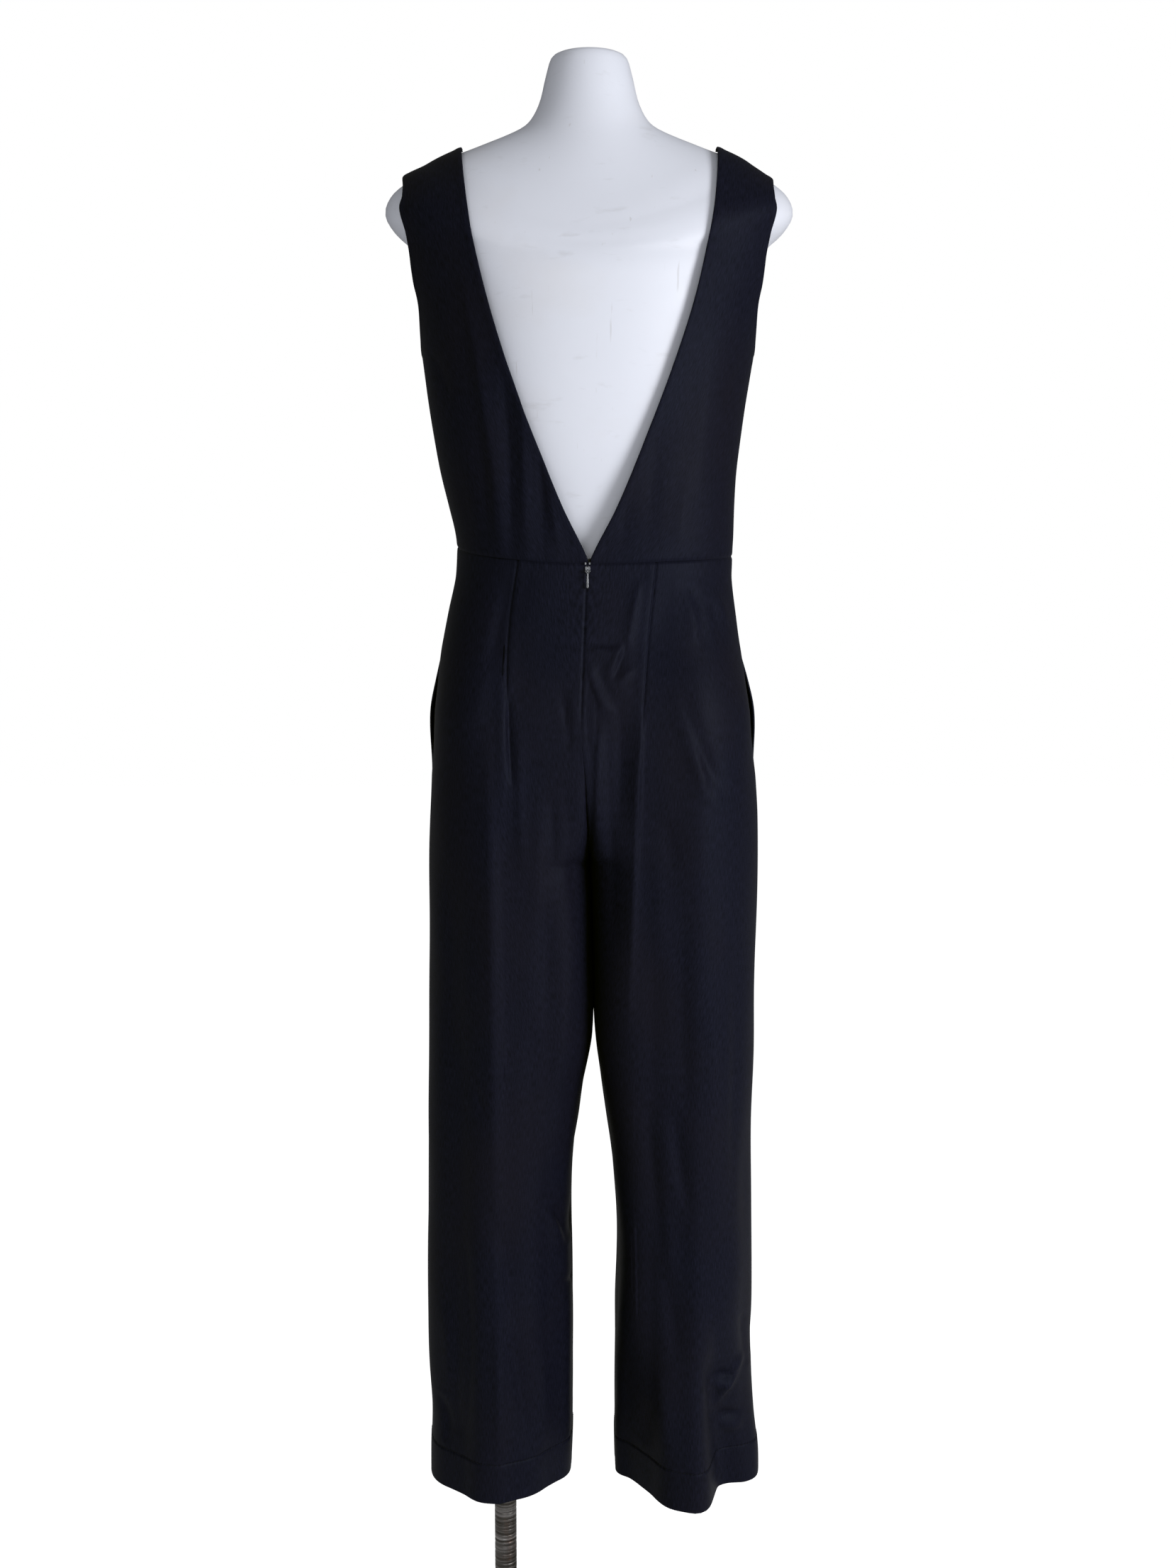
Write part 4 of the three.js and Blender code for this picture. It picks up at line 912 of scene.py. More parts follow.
def bodice_relief(name, points, run, rise, crease_depth, seed):
    """Creases, pressed seams and turned edges of a bodice panel."""
    width = run[:, -1:]
    underarm = rise[:, -1:] * 0 + UNDERARM_LEVEL
    is_seam = points[:, -1:, 2] < underarm
    from_edge = np.where(is_seam, 1000, width - run)
    from_seam = np.where(is_seam, width - run, 1000)
    top = rise[-1:, :]
    lift = crease_depth * crease_rise(name, points)
    lift += sway(points, seed, 0.5) * smooth(rise, 0, 25)
    lift += groove(rise, 1.8, 1.1) + groove(top - rise, 1.5, 0.8) + groove(from_seam, 1.7, 1.0)
    lift -= groove(from_edge - 2, 3, 0.5)
    return lift


def back_bodice(side, finish, crease_depth):
    """One back half, from the waist seam to the shoulder, cut away to the open V."""
    name = f"bodice_back_{side}"
    sign = SIGN[side]
    centre = float(v_edge_angle(side, np.array([float(WAIST_BACK)]))[0])

    def inner(v):
        level = mix(WAIST_BACK, SHOULDER_NECK_LEVEL, 1 - (1 - v) ** 2)
        return np.where(v > 0.9999, QUARTER, v_edge_angle(side, level)), level

    def bottom(u):
        return mix(centre, QUARTER, u), waist_height(side, BACK, u)

    cut = patch(bottom, shoulder_edge, even_edge(inner), side_edge(side, BACK))
    u = steps_near(56, 0, 1, offsets=(0.004, 0.01, 0.018))[None, :]
    v = steps_near(130, 0, 1, offsets=(0.0015, 0.003, 0.005))[:, None]
    angle, level = cut(u, v)
    points = bodice_point(sign * angle, level)
    rows, columns = angle.shape
    quads = grid_quads(rows, columns, -sign)
    run = path_lengths(points, axis=1)
    rise = path_lengths(points, axis=0)
    lift = fold_rise(name, u, mix(WAIST_BACK, SHOULDER_TIP_LEVEL, v))
    lift += bodice_relief(name, points, run, rise, crease_depth, seed=2.2 * sign)
    lift -= groove(run - 3, 4, 0.7)
    lift += 1.2 * (1 - smooth(run, 0, 30)) * smooth(rise, 30, 90)
    lift = np.maximum(lift, BODICE_WALL + SKIN_ROOM - form_room(sign * angle, level))
    flat = points.reshape(-1, 3)
    flat = flat + surface_normals(flat, quads) * lift.reshape(-1, 1)
    uv = np.stack((run, rise), axis=-1).reshape(-1, 2)
    piece = cloth_piece(name + "_cloth", flat, quads, uv, BODICE_WALL, finish)
    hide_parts(name)
    return piece


def front_bodice(finish, crease_depth):
    """The front, one piece from side to side, joined on the centre line below the neckline."""
    name = "bodice_front"
    neck_share = 0.55
    neckline_centre = NECKLINE["level"][0]

    def neckline(t):
        angle = 90 * (1 - (1 - t) ** 1.5)
        return np.radians(angle), read_table(NECKLINE, "level", angle)

    even_neckline = even_edge(neckline)

    def inner(v):
        below = np.minimum(v / neck_share, 1)
        above = np.clip((v - neck_share) / (1 - neck_share), 0, 1)
        neck_angle, neck_level = even_neckline(above)
        is_below = v <= neck_share
        return (
            np.where(is_below, 0, neck_angle),
            np.where(is_below, mix(WAIST_FRONT, neckline_centre, below), neck_level),
        )

    u = steps_near(58, 1, offsets=(0.004, 0.01, 0.018))[None, :]
    v = steps_near(130, 0, neck_share, 1, offsets=(0.0015, 0.003, 0.005))[:, None]
    rows, columns = v.size, u.size
    half_points, half_quads, half_uv = [], [], []
    for side in SIDES:
        sign = SIGN[side]

        def bottom(u, side=side):
            return mix(0, QUARTER, u), waist_height(side, FRONT, u)

        angle, level = patch(bottom, shoulder_edge, inner, side_edge(side, FRONT))(u, v)
        points = bodice_point(sign * angle, level)
        quads = grid_quads(rows, columns, sign)
        run = path_lengths(points, axis=1)
        rise = path_lengths(points, axis=0)
        lift = bodice_relief(name, points, run, rise, crease_depth, seed=0.9)
        at_neck = smooth(v, neck_share - 0.02, neck_share)
        lift -= at_neck * groove(run - 3, 4, 0.6)
        lift = np.maximum(lift, BODICE_WALL + SKIN_ROOM - form_room(sign * angle, level))
        flat = points.reshape(-1, 3)
        normals = surface_normals(flat, quads).reshape(rows, columns, 3)
        joined = v[:, 0] <= neck_share
        normals[joined, 0, 0] = 0
        flat = flat + normals.reshape(-1, 3) * lift.reshape(-1, 1)
        half_points.append(flat)
        half_quads.append(quads)
        half_uv.append(np.stack((sign * run, rise), axis=-1).reshape(-1, 2))
    places = np.arange(rows * columns) + rows * columns
    shared = np.flatnonzero(joined) * columns
    places[shared] = shared
    quads = np.concatenate((half_quads[0], places[half_quads[1]]))
    used = np.unique(quads)
    points = np.concatenate(half_points)[used]
    uv = np.concatenate(half_uv)[used]
    piece = cloth_piece(name + "_cloth", points, np.searchsorted(used, quads), uv, BODICE_WALL, finish)
    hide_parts(name)
    return piece


def pocket_bag(side, finish):
    """Pocket bag: starts inside the back panel, runs forward, turns back and ends at the front."""
    sign = SIGN[side]
    inner_depth = POCKET_DEPTH + POCKET_WALL + POCKET_HOLLOW
    u = np.linspace(0, 1, POCKET_GRID)[None, :]
    v = np.linspace(0, 1, POCKET_GRID)[:, None]
    height = mix(POCKET_TOP, POCKET_BOTTOM, v)
    gape = POCKET_GAPE * mouth_open(height) * (1 - np.abs(2 * np.minimum(u, 1 - u))) ** 4
    opened = (1 - smooth(v, 0.9, 1)) * smooth(v, 0, 0.06)
    hollow = mix(POCKET_PINCH, POCKET_HOLLOW, opened) + gape
    turn = np.clip((u - 0.46) / 0.08, 0, 1)
    away = np.where(u < 0.5, u / 0.5, (1 - u) / 0.5)
    length = POCKET_REACH * np.sin(math.pi * (0.28 + 0.6 * v)) ** 0.6
    across = 0.985 - length * away
    depth = mix(inner_depth - POCKET_HOLLOW + hollow, POCKET_DEPTH, smooth(turn, 0, 1))
    step = 0.002
    ahead, behind = (trouser_point(side, FRONT, across + way * step, height) for way in (1, -1))
    way = ahead - behind
    way /= np.linalg.norm(way, axis=-1, keepdims=True)
    inward = np.stack((-way[..., 1], way[..., 0], 0 * way[..., 0]), axis=-1) * sign
    points = trouser_point(side, FRONT, across, height) + inward * depth[..., None]
    run = path_lengths(points, axis=1)
    fall = path_lengths(points, axis=0)
    uv = np.stack((run, -fall), axis=-1).reshape(-1, 2)
    quads = grid_quads(POCKET_GRID, POCKET_GRID, -sign)
    name = f"pocket_{side}"
    piece = cloth_piece(name + "_bag", points.reshape(-1, 3), quads, uv, POCKET_WALL, finish)
    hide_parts(name)
    return piece


def ring_faces(rings, sides, start=0):
    """Quads that join each ring of points to the next."""
    faces = []
    for ring in range(rings - 1):
        for segment in range(sides):
            a = start + ring * sides + segment
            b = start + ring * sides + (segment + 1) % sides
            faces.append((a, b, b + sides, a + sides))
    return faces


def turned(outline, sides, x=0.0):
    """Points and faces of a part turned about a vertical axis, from [radius, height] pairs."""
    radius, height = np.array(outline, float).T
    angle = np.arange(sides) * 2 * math.pi / sides
    ring_x = x + radius[:, None] * np.cos(angle)
    ring_y = radius[:, None] * np.sin(angle)
    points = np.stack((ring_x, ring_y, height[:, None] + 0 * ring_x), axis=-1).reshape(-1, 3)
    return points, ring_faces(len(outline), sides)


def capped(points, faces, sides):
    """Flat lids on the first and last ring of a turned part."""
    last = len(points) - sides
    return points, [*faces, tuple(range(sides))[::-1], tuple(range(last, last + sides))]


def rounded_corner(radius, height, edge, steps=6, start=0, end=90):
    """Quarter round of an outline, from the side to the top, about its own centre."""
    angles = np.radians(np.linspace(start, end, steps))
    return [(radius - edge + edge * math.cos(a), height - edge + edge * math.sin(a)) for a in angles]


def set_sharp(piece, degrees=35):
    piece.data.set_sharp_from_angle(angle=math.radians(degrees))


def stand_part(name, outline, sides, finish, node, x=0.0, has_lids=False, sharp=35):
    """Turned part of the stand, in place of one node of the frame."""
    points, faces = turned(outline, sides, x)
    if has_lids:
        points, faces = capped(points, faces, sides)
    piece = new_piece(name, points, faces, finish)
    set_sharp(piece, sharp)
    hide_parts(node)


def new_finish(name, **sockets):
    """Material with one Principled shader whose sockets hold the given constants."""
    finish = bpy.data.materials.new(name)
    finish.use_nodes = True
    shader = finish.node_tree.nodes["Principled BSDF"]
    for socket, value in sockets.items():
        shader.inputs[socket.replace("_", " ").title().replace("Ior", "IOR")].default_value = value
    return finish, shader


def add_node(finish, kind, inputs=None, **values):
    node = finish.node_tree.nodes.new("ShaderNode" + kind)
    for name, value in values.items():
        setattr(node, name, value)
    for name, value in (inputs or {}).items():
        socket = node.inputs[name]
        if isinstance(value, bpy.types.NodeSocket):
            finish.node_tree.links.new(value, socket)
        else:
            socket.default_value = value
    return node


def link(finish, source, target):
    finish.node_tree.links.new(source, target)


def scaled_coordinates(finish, source, scale):
    coordinates = add_node(finish, "TexCoord")
    mapping = add_node(finish, "Mapping", {"Vector": coordinates.outputs[source], "Scale": scale})
    return mapping.outputs["Vector"]


def noise(finish, source, scale, detail=3, rough=0.55):
    vector = scaled_coordinates(finish, source, scale)
    node = add_node(finish, "TexNoise", {"Vector": vector, "Scale": 1, "Detail": detail, "Roughness": rough})
    return node.outputs["Fac"]


def ramp(finish, value, low, high, to_low=0.0, to_high=1.0):
    node = add_node(
        finish,
        "MapRange",
        {"Value": value, "From Min": low, "From Max": high, "To Min": to_low, "To Max": to_high},
        clamp=True,
    )
    return node.outputs["Result"]


def blend_colours(finish, share, first, second):
    node = add_node(finish, "Mix", data_type="RGBA")
    link(finish, share, node.inputs["Factor"])
    for index, colour in ((6, first), (7, second)):
        if isinstance(colour, bpy.types.NodeSocket):
            link(finish, colour, node.inputs[index])
        else:
            node.inputs[index].default_value = (*colour[:3], 1)
    return node.outputs[2]


def bump(finish, height, distance, strength=1.0, below=None):
    inputs = {"Height": height, "Distance": distance, "Strength": strength}
    if below is not None:
        inputs["Normal"] = below
    return add_node(finish, "Bump", inputs).outputs["Normal"]


def cloth_finish(name, settings, dark, light, grain=1.0):
    """Crepe: fine vertical slubs over a close grain, with a soft sheen."""
    finish, shader = new_finish(
        name, specular_ior_level=0.08, specular_tint=(0.66, 0.76, 1, 1), sheen_weight=settings.sheen,
        sheen_roughness=0.45, sheen_tint=(0.6, 0.68, 1, 1),
    )
    slubs = noise(finish, "UV", (1300 * grain, 110, 1), detail=4, rough=0.6)
    grains = noise(finish, "UV", (1900 * grain, 1500, 1), detail=2)
    patches = noise(finish, "Object", (9, 9, 5), detail=2)
    yarn = blend_colours(finish, ramp(finish, slubs, 0.36, 0.66), dark, light)
    patchy = ramp(finish, patches, 0.42, 0.68, 0, 0.35)
    tinted = blend_colours(finish, patchy, yarn, (0.0102, 0.008, 0.0128))
    link(finish, tinted, shader.inputs["Base Color"])
    link(finish, ramp(finish, grains, 0.3, 0.7, 0.46, 0.64), shader.inputs["Roughness"])
    fine = bump(finish, grains, 0.00004)
    link(finish, bump(finish, slubs, 0.00007, below=fine), shader.inputs["Normal"])
    return finish


def form_finish(settings):
    """Off-white satin paint with faint stains, scuffs and hairline scratches."""
    finish, shader = new_finish("form_paint", specular_ior_level=0.4, coat_weight=0.08, coat_roughness=0.35)
    stains = noise(finish, "Object", (7, 7, 9), detail=5)
    specks = noise(finish, "Object", (60, 60, 70), detail=3)
    hairs = noise(finish, "Object", (210, 210, 16), detail=2)
    scuffs = noise(finish, "Object", (26, 26, 90), detail=4)
    painted = blend_colours(finish, ramp(finish, stains, 0.52, 0.78, 0, 0.4), settings.colour, settings.stain)
    marked = blend_colours(finish, ramp(finish, scuffs, 0.62, 0.74, 0, 0.2), painted, (0.5, 0.5, 0.53))
    scratched = blend_colours(finish, ramp(finish, hairs, 0.72, 0.77, 0, 0.3), marked, (0.46, 0.45, 0.46))
    link(finish, scratched, shader.inputs["Base Color"])
    link(finish, ramp(finish, specks, 0.3, 0.7, 0.42, 0.56), shader.inputs["Roughness"])
    link(finish, bump(finish, specks, 0.0002), shader.inputs["Normal"])
    return finish


def pole_finish(settings):
    """Dark worn steel with uneven silvery bands round it and a rusty tint."""
    finish, shader = new_finish("pole_steel", metallic=1.0)
    bands = noise(finish, "Object", (2, 2, 330), detail=5, rough=0.7)
    broad = noise(finish, "Object", (6, 6, 55), detail=3)
    rust = noise(finish, "Object", (45, 45, 30), detail=4)
    steel = blend_colours(finish, ramp(finish, bands, 0.42, 0.66), settings.dark_steel, settings.bright_steel)
    shaded = blend_colours(finish, ramp(finish, broad, 0.4, 0.62, 0, 0.7), steel, (0.1, 0.09, 0.085))
    rusted = blend_colours(finish, ramp(finish, rust, 0.58, 0.72, 0, 0.6), shaded, (0.16, 0.09, 0.07))
    link(finish, rusted, shader.inputs["Base Color"])
    link(finish, ramp(finish, bands, 0.35, 0.7, 0.46, 0.24), shader.inputs["Roughness"])
    link(finish, bump(finish, bands, 0.0006), shader.inputs["Normal"])
    return finish


def base_finish(settings):
    """Dark powder coat with dust and rubbed patches."""
    finish, shader = new_finish("base_paint", specular_ior_level=0.45)
    grains = noise(finish, "Object", (700, 700, 700), detail=2)
    dust = noise(finish, "Object", (22, 22, 22), detail=6, rough=0.65)
    coated = blend_colours(finish, ramp(finish, dust, 0.5, 0.75, 0, 0.5), settings.base, (0.11, 0.11, 0.115))
    link(finish, coated, shader.inputs["Base Color"])
    link(finish, ramp(finish, dust, 0.35, 0.7, 0.38, 0.62), shader.inputs["Roughness"])
    link(finish, bump(finish, grains, 0.00015), shader.inputs["Normal"])
    return finish


def zip_finish(settings):
    """Bright gunmetal plating with fine rubbing."""
    finish, shader = new_finish("zip_metal", metallic=1.0)
    rubbed = noise(finish, "Object", (900, 900, 500), detail=3)
    plated = blend_colours(finish, ramp(finish, rubbed, 0.35, 0.68), settings.metal, (0.28, 0.29, 0.31))
    link(finish, plated, shader.inputs["Base Color"])
    link(finish, ramp(finish, rubbed, 0.3, 0.7, 0.24, 0.42), shader.inputs["Roughness"])
    link(finish, bump(finish, rubbed, 0.00004), shader.inputs["Normal"])
    return finish


class ClothSettings(bpy.types.PropertyGroup):
    """Sizes and colours of the jumpsuit's cloth."""

    dark: bpy.props.FloatVectorProperty(
        name="Dark Yarn", description="Colour between the slubs", subtype="COLOR",
        default=(0.0032, 0.0034, 0.0094),
    )
    light: bpy.props.FloatVectorProperty(
        name="Light Yarn", description="Colour of the slubs", subtype="COLOR",
        default=(0.0096, 0.0101, 0.024),
    )
    pocketing: bpy.props.FloatVectorProperty(
        name="Pocketing", description="Colour of the pocket bags and the zip tape", subtype="COLOR",
        default=(0.004, 0.004, 0.006),
    )
    sheen: bpy.props.FloatProperty(
        name="Sheen", description="Soft light at the cloth's edges", default=0.002, min=0
    )
    hem_depth: bpy.props.FloatProperty(
        name="Hem Depth", description="Depth of the turned-up hems in millimetres", default=43.0, min=10
    )
    crease_depth: bpy.props.FloatProperty(
        name="Crease Depth", description="Share of the full depth of the creases", default=1.6, min=0, max=2,
        subtype="FACTOR",
    )
    stitch_pitch: bpy.props.FloatProperty(
        name="Stitch Pitch", description="Distance from stitch to stitch in millimetres", default=4.2, min=2
    )


class FormSettings(bpy.types.PropertyGroup):
    """Colours and fineness of the dress form."""

    colour: bpy.props.FloatVectorProperty(
        name="Paint", description="Off-white of the dress form", subtype="COLOR", default=(0.84, 0.87, 0.97)
    )
    stain: bpy.props.FloatVectorProperty(
        name="Stain", description="Tint of its faint stains", subtype="COLOR", default=(0.78, 0.77, 0.8)
    )
    sides: bpy.props.IntProperty(name="Sides", description="Points round the form", default=160, min=48)


class StandSettings(bpy.types.PropertyGroup):
    """Sizes and colours of the stand."""

    pole_x: bpy.props.FloatProperty(
        name="Pole Place", description="Distance of the pole from the middle in millimetres", default=95.0
    )
    pole_radius: bpy.props.FloatProperty(
        name="Pole Radius", description="Radius of the pole in millimetres", default=12.4, min=5
    )
    dark_steel: bpy.props.FloatVectorProperty(
        name="Dark Steel", description="Colour between the bands", subtype="COLOR",
        default=(0.055, 0.05, 0.048),
    )
    bright_steel: bpy.props.FloatVectorProperty(
        name="Bright Steel", description="Colour of the bands", subtype="COLOR", default=(0.44, 0.42, 0.415)
    )
    base: bpy.props.FloatVectorProperty(
        name="Base Paint", description="Colour of the base plate", subtype="COLOR",
        default=(0.022, 0.022, 0.026),
    )


class ZipSettings(bpy.types.PropertyGroup):
    """Sizes and colour of the zip."""

    metal: bpy.props.FloatVectorProperty(
        name="Metal", description="Colour of the slider and the tab", subtype="COLOR",
        default=(0.11, 0.115, 0.125),
    )
    tab_length: bpy.props.FloatProperty(
        name="Tab Length", description="From the hinge to the tip in millimetres", default=17.0, min=8
    )
    tab_width: bpy.props.FloatProperty(
        name="Tab Width", description="Width at the tip in millimetres", default=2.4, min=2
    )


class StageSettings(bpy.types.PropertyGroup):
    """Camera, floor and lights."""

    camera_distance: bpy.props.FloatProperty(
        name="Camera Distance", description="From the form's axis", default=1.754, unit="LENGTH"
    )
    camera_height: bpy.props.FloatProperty(
        name="Camera Height", description="Above the floor", default=1.242, unit="LENGTH"
    )
    camera_pitch: bpy.props.FloatProperty(
        name="Camera Pitch", description="Downward tilt", default=math.radians(6.5), subtype="ANGLE"
    )
    key_power: bpy.props.FloatProperty(name="Key Light", description="Watts", default=58.0, min=0)
    fill_power: bpy.props.FloatProperty(name="Fill Light", description="Watts", default=19.0, min=0)
    top_power: bpy.props.FloatProperty(name="Top Light", description="Watts", default=3.0, min=0)
    floor_glow: bpy.props.FloatProperty(
        name="Floor Glow", description="Light that keeps the floor white up to its far edge",
        default=0.85, min=0,
    )
    black_level: bpy.props.FloatVectorProperty(
        name="Black Level", description="Light that the photograph shows as black", subtype="COLOR",
        default=(0, 0, 0.0025),
    )
    room_light: bpy.props.FloatProperty(
        name="Room Light", description="Light from all round", default=0.17, min=0
    )


def area_light(name, place, target, size, power):
    data = bpy.data.lights.new(name, "AREA")
    data.shape = "DISK"
    data.size = size
    data.energy = power
    lamp = bpy.data.objects.new(name, data)
    lamp.location = place
    lamp.rotation_euler = (Vector(target) - Vector(place)).to_track_quat("-Z", "Y").to_euler()
    bpy.context.scene.collection.objects.link(lamp)


class JUMPSUIT_OT_stage(bpy.types.Operator):
    """Set the camera, the floor and the lights"""

    bl_idname = "jumpsuit.stage"
    bl_label = "Stage"

    def execute(self, context):
        settings = context.scene.jumpsuit_stage
        scene = context.scene
        scene.view_settings.view_transform = "Standard"
        scene.view_settings.use_curve_mapping = True
        scene.view_settings.curve_mapping.black_level = settings.black_level
        scene.view_settings.curve_mapping.update()

        data = bpy.data.cameras.new("photo_camera")
        data.sensor_width = CAMERA_SENSOR
        data.lens = CAMERA_LENS
        camera = bpy.data.objects.new("photo_camera", data)
        camera.location = (CAMERA_ASIDE, settings.camera_distance, settings.camera_height)
        camera.rotation_euler = (QUARTER - settings.camera_pitch, 0, math.pi)
        scene.collection.objects.link(camera)
        scene.camera = camera

        world = bpy.data.worlds.new("studio_room")
        world.use_nodes = True
        tree = world.node_tree
        room = tree.nodes["Background"]
        room.inputs["Strength"].default_value = settings.room_light
        room.inputs["Color"].default_value = (1, 1, 1, 1)
        seen = tree.nodes.new("ShaderNodeBackground")
        seen.inputs["Color"].default_value = (1, 1, 1, 1)
        path = tree.nodes.new("ShaderNodeLightPath")
        both = tree.nodes.new("ShaderNodeMixShader")
        tree.links.new(path.outputs["Is Camera Ray"], both.inputs["Fac"])
        tree.links.new(room.outputs["Background"], both.inputs[1])
        tree.links.new(seen.outputs["Background"], both.inputs[2])
        tree.links.new(both.outputs["Shader"], tree.nodes["World Output"].inputs["Surface"])
        scene.world = world

        finish, shader = new_finish("floor_white", roughness=0.9, specular_ior_level=0.2)
        shader.inputs["Emission Color"].default_value = (1, 1, 1, 1)
        seen_white = finish.node_tree.nodes.new("ShaderNodeLightPath")
        glow = ramp(finish, seen_white.outputs["Is Camera Ray"], 0, 1, 0.05, settings.floor_glow)
        link(finish, glow, shader.inputs["Emission Strength"])
        cloudy = noise(finish, "Object", (0.7, 0.7, 0.7), detail=2)
        pale = blend_colours(finish, cloudy, (0.86, 0.86, 0.87), (0.9, 0.9, 0.9))
        link(finish, pale, shader.inputs["Base Color"])
        mesh = bpy.data.meshes.new("floor")
        corners = [(-1, -1), (1, -1), (1, 1), (-1, 1)]
        mesh.from_pydata([(x * FLOOR_REACH, y * FLOOR_REACH, 0) for x, y in corners], [], [(0, 1, 2, 3)])
        mesh.materials.append(finish)
        floor = bpy.data.objects.new("floor", mesh)
        scene.collection.objects.link(floor)

        area_light("key_light", (-2.35, 1.95, 1.6), (0, 0, 1.1), 1.5, settings.key_power)
        area_light("fill_light", (0.4, 3.1, 1.4), (0, 0, 1.1), 2.4, settings.fill_power)
        area_light("top_light", (0, 0.4, 3.9), (0, 0, 0), 3.2, settings.top_power)
        return {"FINISHED"}


class JUMPSUIT_OT_form(bpy.types.Operator):
    """Build the limbless dress form"""

    bl_idname = "jumpsuit.form"
    bl_label = "Dress Form"

    def execute(self, context):
        settings = context.scene.jumpsuit_form
        fine_levels = []
        levels = FORM_SECTIONS["level"]
        for low, high in zip(levels[:-1], levels[1:]):
            count = max(int((high - low) / 4), 3)
            fine_levels.extend(np.linspace(low, high, count, endpoint=False))
        fine_levels.append(levels[-1])
        level = np.array(fine_levels)[:, None]
        angle = np.linspace(0, 2 * math.pi, settings.sides, endpoint=False)[None, :]
        rings = form_point(angle, level)
        closing = np.linspace(1, 0.1, 8)[1:, None, None]
        centre = np.array((0.0, 0.0, FORM_TOP))
        lid = centre + (rings[-1][None] - centre) * closing
        flat_bottom = rings[0] * (0.04, 0.04, 1)
        points = np.concatenate((flat_bottom[None], rings, lid)).reshape(-1, 3)
        sides = settings.sides
        points, faces = capped(points, ring_faces(len(points) // sides, sides), sides)
        piece = new_piece("dress_form", points, faces, form_finish(settings))
        set_sharp(piece, 50)
        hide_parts("form_torso")
        return {"FINISHED"}


class JUMPSUIT_OT_trousers(bpy.types.Operator):
    """Build the four leg panels and the stitches of their hems"""

    bl_idname = "jumpsuit.trousers"
    bl_label = "Trousers"

    def execute(self, context):
        settings = context.scene.jumpsuit_cloth
        finish = cloth_finish("crepe", settings, settings.dark, settings.light)
        lines = {}
        for side in SIDES:
            for face in (BACK, FRONT):
                piece, line = trouser_panel(side, face, finish, settings.hem_depth, settings.crease_depth)
                lines[side, face] = line
        thread = cloth_finish("thread", settings, (0.008, 0.008, 0.011), (0.016, 0.017, 0.024), grain=2)
        for (side, face), line in lines.items():
            hem_stitches(f"hem_stitches_{FACE_NAMES[face]}_{side}", line, settings.stitch_pitch, thread)
        return {"FINISHED"}


def hem_stitches(name, line, pitch, finish):
    """Row of short raised stitches along a line on a panel."""
    lengths = np.concatenate(([0], np.cumsum(np.linalg.norm(np.diff(line, axis=0), axis=1))))
    places = np.arange(4, lengths[-1] - 4, pitch)
    sides, radius, half = 6, 0.32, 1.25
    outline = ((-1, 0.15), (-0.7, 0.75), (0, 1), (0.7, 0.75), (1, 0.15))
    points, faces = [], []
    centre_line = line.mean(axis=0)
    for place in places:
        at = np.array([np.interp(place, lengths, line[:, axis]) for axis in range(3)])
        ahead = np.array([np.interp(place + 1, lengths, line[:, axis]) for axis in range(3)])
        way = (ahead - at) / np.linalg.norm(ahead - at)
        outward = np.cross(way, (0, 0, 1))
        if np.dot(outward, at - centre_line * (1, 0, 1)) < 0:
            outward = -outward
        up = np.cross(outward, way)
        start = len(points)
        for along, size in outline:
            for side in range(sides):
                turn = side * 2 * math.pi / sides
                spread = radius * size * (math.cos(turn) * outward + math.sin(turn) * up)
                points.append(at + way * along * half + spread + outward * 0.55)
        faces.extend(ring_faces(len(outline), sides, start))
        faces.append(tuple(range(start, start + sides))[::-1])
        last = start + (len(outline) - 1) * sides
        faces.append(tuple(range(last, last + sides)))
    new_piece(name, np.array(points), faces, finish)


class JUMPSUIT_OT_bodice(bpy.types.Operator):
    """Build the front bodice and the two back halves"""

    bl_idname = "jumpsuit.bodice"
    bl_label = "Bodice"

    def execute(self, context):
        settings = context.scene.jumpsuit_cloth
        finish = bpy.data.materials["crepe"]
        front = front_bodice(finish, settings.crease_depth)
        for side in SIDES:
            piece = back_bodice(side, finish, settings.crease_depth)
        return {"FINISHED"}


class JUMPSUIT_OT_pockets(bpy.types.Operator):
    """Build the pocket bags in the side seams"""

    bl_idname = "jumpsuit.pockets"
    bl_label = "Pocket Bags"

    def execute(self, context):
        settings = context.scene.jumpsuit_cloth
        finish = cloth_finish("pocketing", settings, settings.pocketing, settings.dark, grain=0.8)
        for side in SIDES:
            piece = pocket_bag(side, finish)
        return {"FINISHED"}


def bevelled(name, outline, wall, edge, finish, body, to_world):
    """Flat metal plate from an outline, with rounded edges, placed by a function of its points."""
    count = len(outline)
    levels = (
        (-wall / 2, edge), (-wall / 2 + edge * 0.3, edge * 0.3), (-wall / 2 + edge, 0),
        (wall / 2 - edge, 0), (wall / 2 - edge * 0.3, edge * 0.3), (wall / 2, edge),
    )
    shape = np.array(outline, float)
    before, after = np.roll(shape, 1, axis=0), np.roll(shape, -1, axis=0)
    way = after - before
    inward = np.stack((-way[:, 1], way[:, 0]), axis=-1)
    inward /= np.linalg.norm(inward, axis=1, keepdims=True)
    rings = [np.column_stack((shape + inward * shrink, np.full(count, level))) for level, shrink in levels]
    points, faces = capped(np.concatenate(rings), ring_faces(len(levels), count), count)
    return new_piece(name, to_world(points), faces, finish, body=body)


